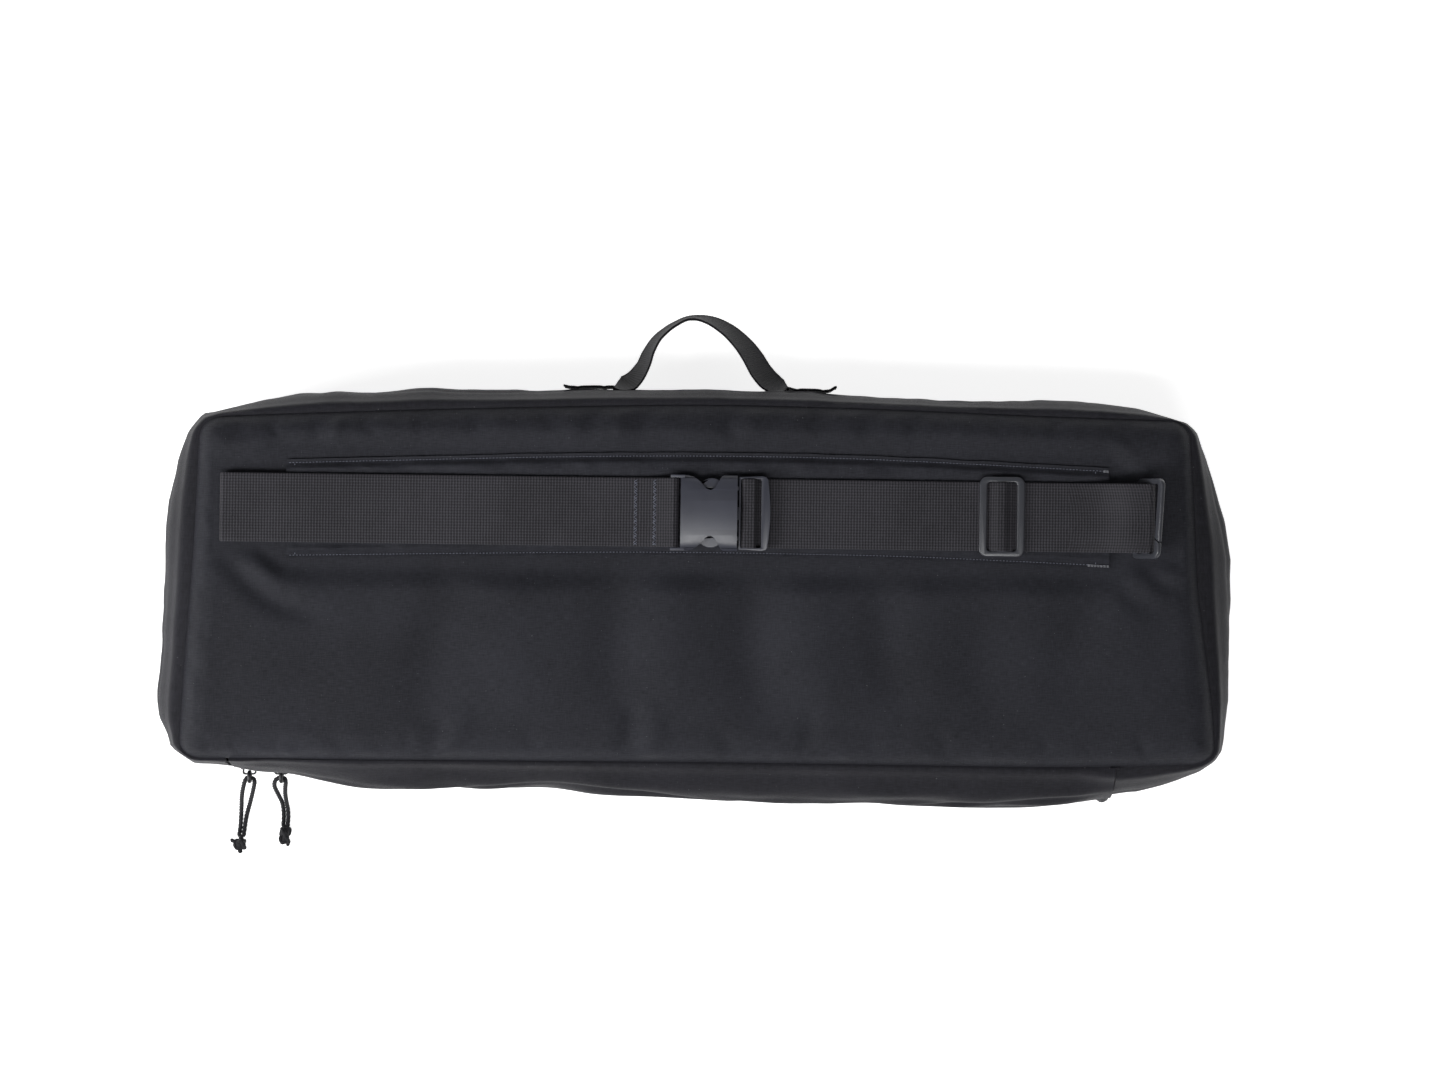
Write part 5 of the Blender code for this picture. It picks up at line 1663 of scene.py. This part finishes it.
    def right_run(self) -> None:
        """The front run right of the buckle, which turns over the insert's bar with its tail beneath."""
        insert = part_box("insert_webbing")
        bar = (insert[0][0] + insert[1][0]) / 2
        top = insert[1][2] - self.web_t / 2
        upper = self.upper_z + self.web_t / 2
        lower = self.lower_z + self.web_t / 2
        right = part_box("belt_right_run")[1][0]
        half = (insert[1][0] - insert[0][0]) / 2 - self.web_t / 2
        path = [(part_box("belt_tail")[1][0], lower), (0.12, lower), (bar + 0.020, lower), (bar, lower)]
        path += [(bar - half + 0.0007, lower + 0.0010), (bar - half + 0.0001, self.male_z + 0.0010)]
        path += placed(bar - half, top, (0.2, -1.2), (1.6, 0))
        path += placed(bar + half, top, (-1.6, 0), (-0.2, -1.2))
        path += [(bar + half + 0.0001, self.male_z + 0.0005)] + placed(bar + half, upper, (2.0, 0.2), (8, -0.1))
        path += [(x, upper) for x in (bar + 0.05, 0.14, 0.20, right)]
        piece = self.web("belt_right_web", path, None)
        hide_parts("belt_right_run", "belt_tail", "insert_webbing")
        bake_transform(piece)
        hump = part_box("adjuster_webbing")
        middle = (hump[0][0] + hump[1][0]) / 2
        reach = (hump[1][0] - hump[0][0]) / 2 - self.web_t / 2
        crest = hump[1][2] - self.web_t / 2
        low = hump[0][2] + self.web_t / 2
        rising = [(reach + 0.0002, low), (reach * 0.72, low + 0.0006)]
        rising += [(reach * 0.50, crest - 0.0012), (reach * 0.28, crest)]
        path = [(middle - u, z) for u, z in rising] + [(middle + u, z) for u, z in rising[::-1]]
        piece = self.web("adjuster_web", path, "adjuster", hump[1][1] - hump[0][1] - 0.0003)
        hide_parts("adjuster_webbing")

    def right_fold(self) -> None:
        """Up into the hook slide, round its centre bar and back down to the sleeve."""
        upper = self.upper_z + self.web_t / 2
        hook_low, hook_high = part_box("hook_slide")
        centre_x, centre_z = (hook_low[0] + hook_high[0]) / 2, (hook_low[2] + hook_high[2]) / 2
        loop_r = 0.0040
        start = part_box("belt_right_run")[1][0]
        path = [(start, upper), (start + 0.010, upper + 0.0008), (start + 0.024, upper + 0.0038),
                (centre_x - 0.015, centre_z + loop_r * 0.45)]
        path += arc(centre_x, centre_z, loop_r, 108, -98, 9)
        path += placed(centre_x, centre_z, (-5.0, -5.2), (-10.5, -8.2), (-15.5, -12.8))
        path += [(self.sleeve_right + 0.0035, self.back_z + self.web_t / 2)]
        piece = self.web("belt_right_fold_web", path, "bag", fan=0.0030)
        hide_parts("belt_right_fold")
        level = self.back_z + self.web_t / 2
        back = [(self.sleeve_left - 0.0030, level), (0.0, level), (self.sleeve_right + 0.0030, level)]
        piece = self.web("belt_back_web", back, "bag", sag=0.0)
        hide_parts("belt_back_run")

    def sleeve(self) -> None:
        """The channel of shell fabric, hemmed along both edges and open at both ends."""
        x = np.linspace(self.sleeve_left, self.sleeve_right, 260)
        low = curve_through(self.lower_edge, x)
        high = curve_through(self.upper_edge, x)
        base = self.back_z + 0.0008
        roof = self.lower_z - GAP - 0.0001
        rows, threads = [], []
        for share in np.linspace(0, 1, 64):
            y = low + (high - low) * share
            wander = 0.0005 * ripple(x, share, (1.0, 45, 3, 2.0))
            margin = np.minimum(y - low, high - y)
            fold = 0.0003 * bell(margin, 0.0006, 0.0009)
            needle = -0.0004 * bell(margin, 0.0024, 0.0007)
            rise = smoothstep(margin, 0.0034, 0.0070)
            across = np.abs(y - self.middle_y - x * math.sin(self.turn))
            outside = smoothstep(across, self.width / 2 + 0.0006, self.width / 2 + 0.0060) * rise
            pucker = ripple(x, share, (1.0, 42, 5, 1.0), (0.5, 110, 6, 4.0))
            puff = outside * (0.0011 + 0.0013 * pucker) + 0.0004 * pucker * bell(margin, 0.004, 0.004)
            end = bell(x, self.sleeve_left, 0.004) + bell(x, self.sleeve_right, 0.004)
            z = base + (roof - base) * rise + fold + needle + puff * (1 - end)
            z = np.where(across < self.width / 2 + 0.0004, np.minimum(z, roof), z)
            rows.append(row(x, y + wander, z))
            threads.append(row(x, y))
        cloth = Fabric(rows, threads, 0.0007, flip=True)
        piece = cloth.piece("belt_sleeve_cloth", Finish.SHELL)
        stands_for(piece, "shell_fabric", "belt_sleeve")
        self.sleeve_stitches(base)

    def sleeve_stitches(self, base: float) -> None:
        """Rows of stitches along the sleeve's edges, its hemmed ends and their bartacks."""
        level = base + 0.0004
        work = Needlework()
        for edge, inward in ((self.upper_edge, -0.0024), (self.lower_edge, 0.0024)):
            x = np.linspace(self.sleeve_left + 0.002, self.sleeve_right - 0.002, 40)
            y = curve_through(edge, x) + inward
            work.run([Vector((u, v, level)) for u, v in zip(x, y)], 0.00235, 0.56, self.thread_r)
        for x in (self.sleeve_right - 0.0095, self.sleeve_left + 0.0060):
            for edge, sign in ((self.upper_edge, -1), (self.lower_edge, 1)):
                y = float(curve_through(edge, x))
                steps = ((0.003, 0.0003), (0.010, 0.0008))
                hem = [Vector((x, y + sign * inset, level + rise)) for inset, rise in steps]
                work.run(hem, 0.0022, 0.6, self.thread_r)
        work.piece("sleeve_stitching", Finish.THREAD)
        tacks = Needlework()
        for x, y, length, lean in self.tacks:
            for k in (-1, 0, 1):
                count = round(length / 0.0021)
                for i in range(count):
                    u = x - length / 2 + length * i / count
                    v = y + k * 0.00055 + (u - x) * lean
                    start = Vector((u, v, level + 0.0004))
                    end = start + Vector((0.0019, 0.0019 * lean, 0))
                    tacks.stitch(start, end, self.thread_r * 0.9, Vector((0, 0, 1)))
        tacks.piece("sleeve_bartacks", Finish.PALE_THREAD)

    def socket(self) -> None:
        """The buckle's socket: a crowned shell with two thumb notches, two ears and the webbing bar."""
        low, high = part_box("buckle_socket")
        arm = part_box("spring_arm_upper")
        bottom, top = low[2], high[2]
        width = high[1] - low[1] - 0.0006
        half = width / 2
        right = high[0] - 0.0003
        ears = low[0] + 0.0001
        left = ears + 0.0072
        middle = self.middle_y
        share = np.sin(np.linspace(-math.pi / 2, math.pi / 2, 61))
        sag = 0.0030 * share**2 + 0.0026 * np.abs(share) ** 14
        section = [(float(half * u), float(top - w)) for u, w in zip(share, sag)]
        section += placed(half, bottom, (-0.4, 2.2), (-2.4, 0.2))
        section += placed(-half, bottom, (2.4, 0.2), (0.4, 2.2))
        body = extrusion(section, left, right, lambda u, w, x: (x, middle + u, w))
        shell = Moulding("buckle_socket_moulding", body)
        shell.cut(box((left + 0.0026, middle - half + 0.0017, bottom + 0.0033),
                      (right + 0.004, middle + half - 0.0017, top - 0.0034)))
        shell.cut(box((left + 0.004, middle - half + 0.008, bottom - 0.002),
                      (right - 0.008, middle + half - 0.008, bottom + 0.0012)))
        for sign in (-1, 1):
            notch = placed(arm[0][0], 0.0, (-6.2, 3.0), (-3.4, 0), (0.8, -1.4), (5.2, -4.6), (9.0, -8.8),
                           (12.2, -10.4), (15.2, -9.0), (17.8, -5.0), (20.0, -1.2), (22.2, 0.4), (23.6, 3.0))
            line = smooth_route([(u, v, 0.0) for u, v in notch], 0.0009)
            outline = [(p.x, middle + sign * (half + p.y)) for p in line]
            outline += [(end[0], middle + sign * (half + 0.006)) for end in (notch[-1], notch[0])]
            shell.cut(extrusion(outline, bottom - 0.002, top + 0.002))
        for sign in (-1, 1):
            near, far = sorted((middle + sign * (half - 0.0018), middle + sign * half))
            shell.join(box((ears, near, bottom + 0.0034), (left + 0.003, far, top - 0.0034)))
        bar = arc(ears + self.socket_bar, (bottom + top) / 2, 0.0018, 0, 345, 23)
        shell.join(extrusion(bar, middle - half + 0.0009, middle + half - 0.0009, lambda u, w, y: (u, y, w)))
        self.lay_object(shell)
        shell.soften(0.00045)
        piece = shell.piece(Finish.PLASTIC, "bag")
        stands_for(piece, "buckle_plastic", "buckle_socket")

    def lay_object(self, moulding: Moulding) -> None:
        """Turns a moulding drawn on the straight belt."""
        for vert in moulding.obj.data.vertices:
            vert.co = self.turned(*vert.co)

    def insert(self) -> None:
        """The buckle's insert: a bowed frame with its webbing bar and tongue."""
        low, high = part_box("buckle_insert")
        bottom, top = low[2], high[2]
        middle = self.middle_y
        half = (high[1] - low[1]) / 2 - 0.0003
        socket_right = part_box("buckle_socket")[1][0]
        left = socket_right + 0.0010
        right = high[0] - 0.0016
        lower = [(left, -half + 0.0008)] + placed(right, -half, (-4.8, 0), (-2.0, 0.7), (-0.8, 2.4))
        lower += [(right, -half * 0.66), (right + 0.0008, -half * 0.33)]
        outline = lower + [(right + 0.0011, 0.0)] + [(u, -v) for u, v in lower[::-1]]
        body = extrusion([(u, middle + v) for u, v in outline], bottom + 0.0001, top - 0.0001)
        frame = Moulding("buckle_insert_moulding", body)
        bar = left + 0.0092
        slot_end = bar + 0.0064
        for x0, x1 in ((left + 0.0011, left + 0.0042), (bar, slot_end)):
            points = rounded_rect((x1 - x0) / 2, half - 0.0020, 0.0011, 5)
            points = [((x0 + x1) / 2 + u, middle + v) for u, v in points]
            frame.cut(extrusion(points, bottom - 0.002, top + 0.002))
        frame.join(box((low[0] + 0.0004, middle - 0.0044, bottom + 0.0005),
                       (left + 0.0009, middle + 0.0044, top - 0.0013)))
        self.lay_object(frame)
        frame.soften(0.00060)
        piece = frame.piece(Finish.PLASTIC, "insert")
        stands_for(piece, "buckle_plastic", "buckle_insert")

    def arms(self) -> None:
        """The two spring arms, each with the domed thumb pad that shows in its notch."""
        for sign, word in ((1, "upper"), (-1, "lower")):
            low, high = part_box(f"spring_arm_{word}")
            middle = self.middle_y
            outer = 0.0265 - 0.0016 - 0.0004
            root = 0.0175
            left = low[0] + 0.0004
            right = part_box("buckle_socket")[1][0] + 0.0006
            edge = placed(left, outer, (1.4, -8.0), (3.0, -5.8), (5.2, -3.4), (7.8, -1.4),
                          (10.6, -0.3), (13.6, 0), (16.4, -0.6), (18.4, -2.0))
            edge += placed(left, root, (20.6, 3.0), (21.8, 1.6))
            edge += [(right, root + 0.0014), (right, root - 0.0014)]
            back = placed(left, root, (14, -0.6), (4, 0.1), (0.6, 1.2))
            outline = [(u, middle + sign * v) for u, v in edge + back]
            body = extrusion(outline, low[2] + 0.0001, high[2] - 0.0001)
            arm = Moulding(f"spring_arm_{word}_moulding", body)
            self.lay_object(arm)
            arm.soften(0.00055)
            piece = arm.piece(Finish.PLASTIC, f"arm_{word}")
            stands_for(piece, "buckle_plastic", f"spring_arm_{word}")

    def slide(self, node: str, body: str, tilt: float, split: bool) -> None:
        """A three-bar slide.

        Args:
            node: the frame's node it stands for.
            body: the body it rides on.
            tilt: how far it leans up from flat, in degrees.
            split: whether one long bar has a slanting cut through it, to hook off the webbing.
        """
        low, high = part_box(node)
        length, thick, side_bar, end_bar, centre_bar = 0.0317, 0.0030, 0.0052, 0.0037, 0.0045
        width = high[1] - low[1] - (high[0] - low[0]) * abs(math.sin(self.turn)) - 0.0002
        x0, z0 = (low[0] + high[0]) / 2, (low[2] + high[2]) / 2
        solid = extrusion(rounded_rect(length / 2, width / 2, 0.0056, 8), -thick / 2, thick / 2)
        frame = Moulding(f"{node}_moulding", solid)
        window = (length / 2 - side_bar - centre_bar / 2) / 2
        for sign in (-1, 1):
            points = [(u + sign * (centre_bar / 2 + window), v)
                      for u, v in rounded_rect(window, width / 2 - end_bar, 0.0026, 6)]
            frame.cut(extrusion(points, -thick, thick))
        if split:
            cut = -width * 0.22
            points = [(length / 2 - side_bar - 0.002, cut - 0.0010), (length / 2 + 0.002, cut - 0.0060),
                      (length / 2 + 0.002, cut - 0.0050), (length / 2 - side_bar - 0.002, cut)]
            frame.cut(extrusion(points, -thick, thick))
        frame.soften(0.00075)
        lean = -math.radians(tilt)
        c, s = math.cos(lean), math.sin(lean)
        origin = Vector(((x0 - self.shift(x0)), 0, z0))
        for vert in frame.obj.data.vertices:
            x, y, z = vert.co
            bow = 0.0005 * (y / (width / 2)) ** 2
            skew = 0.055 * y if split else 0.0
            along = origin.x + x * c + z * s + skew
            vert.co = self.turned(along, self.middle_y + y, origin.z - x * s + (z - bow) * c)
        piece = frame.piece(Finish.SLIDE, body)
        stands_for(piece, "buckle_plastic", node)

    def shift(self, x: float) -> float:
        """How far the belt's turn moves its middle line in X at a place along it."""
        return x * (math.cos(self.turn) - 1)

    def build(self) -> None:
        """Builds the belt from the sleeve outwards."""
        self.sleeve()
        self.left_run()
        self.right_run()
        self.right_fold()
        self.socket()
        self.insert()
        self.arms()
        self.slide("adjuster_slide", "adjuster", 0.0, False)
        self.slide("hook_slide", "hook_slide", 62.0, True)
        LOG.info("belt: sleeve, webbing, buckle, slides")


# The handle


@dataclass
class Handle:
    """The grab handle: a loop of webbing on edge, and its two ends sewn to the gusset."""

    web_t: float = 0.0014
    width: float = 0.0250
    rib: float = 0.0018
    thread_r: float = 0.00026
    # Where the loop's middle line runs, and how far the webbing leans back there, in degrees.
    course: tuple[Point, ...] = (
        (-0.0600, 0.1418, 2), (-0.0545, 0.1432, 20), (-0.0490, 0.1460, 33), (-0.0437, 0.1512, 28),
        (-0.0386, 0.1595, 22), (-0.0349, 0.1686, 18), (-0.0293, 0.1779, 14), (-0.0219, 0.1849, 11),
        (-0.0145, 0.1897, 9), (-0.0072, 0.1930, 8), (0.0008, 0.1936, 10), (0.0086, 0.1921, 15),
        (0.0160, 0.1889, 20), (0.0253, 0.1826, 25), (0.0343, 0.1736, 30), (0.0407, 0.1648, 34),
        (0.0470, 0.1541, 37), (0.0530, 0.1470, 37), (0.0590, 0.1430, 30), (0.0655, 0.1402, 6),
    )

    def __post_init__(self) -> None:
        """Reads the handle's place from the frame."""
        left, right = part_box("handle_end_left"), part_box("handle_end_right")
        self.base_y = left[0][1]
        self.middle_z = (left[0][2] + left[1][2]) / 2
        self.ends = (left[0][0], left[1][0], right[0][0], right[1][0])
        self.root_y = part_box("handle_webbing")[0][1] + 0.0022

    def rim(self, x: np.ndarray) -> np.ndarray:
        """Where the gusset's outer face lies along the bag, in Y."""
        top = sorted(p for p in RIM if p[1] > 0.12)
        return np.interp(x, [p[0] for p in top], [p[1] for p in top])

    def loop(self) -> None:
        """The webbing loop, which leans and twists a little as it goes round."""
        crown = max(p[1] for p in self.course) - self.root_y
        points = [(x, y, self.middle_z - 0.013 * (y - self.root_y) / crown) for x, y, _ in self.course]
        line = smooth_route(points, self.rib / 4)
        count = len(line) - 1
        run = run_length(line) / count
        leans = np.interp([p.x for p in line], [p[0] for p in self.course], [p[2] for p in self.course])
        rows, threads = [], []
        across = self.width / 2 * np.sin(np.linspace(-math.pi / 2, math.pi / 2, 17))
        for i, here in enumerate(line):
            ahead = (line[min(i + 1, count)] - line[max(i - 1, 0)]).normalized()
            lean = math.radians(float(leans[i]))
            outward = ahead.cross(Vector((0, 0, 1))).normalized()
            outward = -outward if outward.y < 0 else outward
            up = (Vector((0, 0, 1)) * math.cos(lean) - outward * math.sin(lean)).normalized()
            up = (up - ahead * up.dot(ahead)).normalized()
            flat = ahead.cross(up).normalized()
            rib = 0.00010 * math.sin(2 * math.pi * i / 4)
            points = []
            for v in across:
                edge = max(0.0, (abs(v) / (self.width / 2) - 0.9) / 0.1)
                cup = 0.0008 * (v / (self.width / 2)) ** 2
                points.append(tuple(here + up * v + flat * (self.web_t / 2 + rib - 0.0003 * edge**2 - cup)))
            rows.append(points)
            threads.append([(i * run, v) for v in across])
        cloth = Fabric(rows, threads, self.web_t, flip=True)
        piece = cloth.piece("handle_loop", Finish.HANDLE, None)
        stands_for(piece, "handle_webbing", "handle_webbing")
        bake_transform(piece)

    def end(self, word: str, start: float, finish: float, inner: float) -> None:
        """One sewn end, with its folded tip and box of stitches.

        Args:
            word: left or right.
            start: its outer end along the bag.
            finish: its inner end.
            inner: where the loop leaves it.
        """
        x = np.linspace(start, inner, 70)
        away = np.abs(x - start) / abs(inner - start)
        rows, threads = [], []
        for v in np.linspace(-self.width / 2, self.width / 2, 17):
            tip = 0.0032 * bell(away, 0, 0.10) if word == "right" else 0.0010 * bell(away, 0, 0.08)
            rise = (0.0010 if word == "right" else 0.0) * smoothstep(away, 0.85, 1.0)
            rib = 0.00010 * np.sin(2 * math.pi * x / self.rib)
            dip = 0.0005 * bell(away, 0.28, 0.05) + 0.0005 * bell(away, 0.80, 0.05)
            y = self.rim(x) + 0.0012 + tip + rise + rib - dip - 0.0006 * (v / self.width * 2) ** 4
            rows.append(row(x, y, self.middle_z + v))
            threads.append(row(x, v))
        cloth = Fabric(rows, threads, self.web_t, flip=inner > start)
        name = f"handle_tab_{word}"
        piece = add_piece(name, cloth.mesh(name), Finish.HANDLE)
        stands_for(piece, "handle_webbing", f"handle_end_{word}")
        work = Needlework()
        sign = 1 if inner > start else -1
        level = float(self.rim((start + finish) / 2)) + 0.0013
        half = self.width / 2 - 0.003
        near, far = start + sign * 0.0045, finish - sign * 0.0030
        corners = [(near, -half), (far, -half), (far, half), (near, half), (near, -half), (far, half)]
        for p, q in zip(corners, corners[1:]):
            seam = [Vector((x, level, self.middle_z + z)) for x, z in (p, q)]
            work.run(seam, 0.0026, 0.62, self.thread_r, Vector((0, 1, 0)))
        work.piece(f"{name}_stitching", Finish.DARK_THREAD)

    def build(self) -> None:
        """Builds the loop and both ends."""
        self.loop()
        self.end("left", self.ends[0], self.ends[1], -0.0590)
        self.end("right", self.ends[3], self.ends[2], 0.0650)
        LOG.info("handle: loop and ends")


# The studio


@dataclass
class Studio:
    """A pale floor, large soft lights and a camera straight above."""

    eye: Point = (0.0187, 0.0310, 2.505)
    lens: float = 85.0

    def floor(self) -> None:
        """A wide pale floor with a finish of its own."""
        bm = bmesh.new()
        bmesh.ops.create_grid(bm, x_segments=8, y_segments=8, size=3.0)
        mesh = bpy.data.meshes.new("studio_floor")
        bm.to_mesh(mesh)
        bm.free()
        floor = bpy.data.objects.new("studio_floor", mesh)
        bpy.context.scene.collection.objects.link(floor)
        g = Graph("studio_floor")
        g.dress("Base Color", (0.93, 0.93, 0.93))
        g.dress("Roughness", 0.9)
        g.dress("Specular IOR Level", 0.1)
        g.dress("Emission Color", (1.0, 1.0, 1.0))
        g.dress("Emission Strength", 0.80)
        mesh.materials.append(g.material)

    def area(self, name: str, place: Point, aim: Point, size: tuple[float, float], power: float) -> None:
        """One rectangular soft light.

        Args:
            name: the light's name.
            place: where it stands.
            aim: what it points at.
            size: its width and height.
            power: watts.
        """
        data = bpy.data.lights.new(name, "AREA")
        data.shape = "RECTANGLE"
        data.size, data.size_y = size
        data.energy = power
        light = bpy.data.objects.new(name, data)
        light.location = place
        light.rotation_euler = (Vector(aim) - Vector(place)).to_track_quat("-Z", "Y").to_euler()
        bpy.context.scene.collection.objects.link(light)

    def build(self) -> None:
        """Sets up the floor, the lights, the world and the camera."""
        self.floor()
        self.area("high_key", (-0.10, -0.86, 2.15), (0, 0, 0.05), (1.9, 0.5), 26.0)
        self.area("side_key", (-1.75, -0.55, 1.05), (0, 0, 0.05), (0.7, 0.9), 30.0)
        self.area("far_fill", (0.4, 1.9, 1.5), (0, 0, 0.05), (1.6, 0.8), 1.5)
        world = bpy.data.worlds.new("studio_world")
        world.use_nodes = True
        world.node_tree.nodes["Background"].inputs[0].default_value = (1.0, 1.0, 1.0, 1.0)
        world.node_tree.nodes["Background"].inputs[1].default_value = 0.14
        bpy.context.scene.world = world
        bpy.context.scene.view_settings.view_transform = "Standard"
        data = bpy.data.cameras.new("camera")
        data.lens = self.lens
        data.sensor_width = 36.0
        camera = bpy.data.objects.new("camera", data)
        camera.location = self.eye
        bpy.context.scene.collection.objects.link(camera)
        bpy.context.scene.camera = camera


def main() -> None:
    """Builds the bag round its frame."""
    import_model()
    Studio().build()
    Pull(
        "left", ((0.0, 1.0, 20.0),),
        ((0.0, 0.0, 0.0), (-0.0046, 0.0022, 0.0), (-0.0074, 0.0036, -0.001)),
    ).build()
    Pull(
        "right", ((-0.0022, 0.88, 70.0), (0.0036, 0.80, 10.0)),
        ((0.0, -0.001, 0.0), (0.0012, -0.0050, 0.0), (0.0026, -0.0084, -0.001)),
    ).build()
    Shell().build()
    Zip().build()
    Belt().build()
    Handle().build()


if __name__ == "__main__":
    logging.basicConfig(level=logging.INFO)
    main()
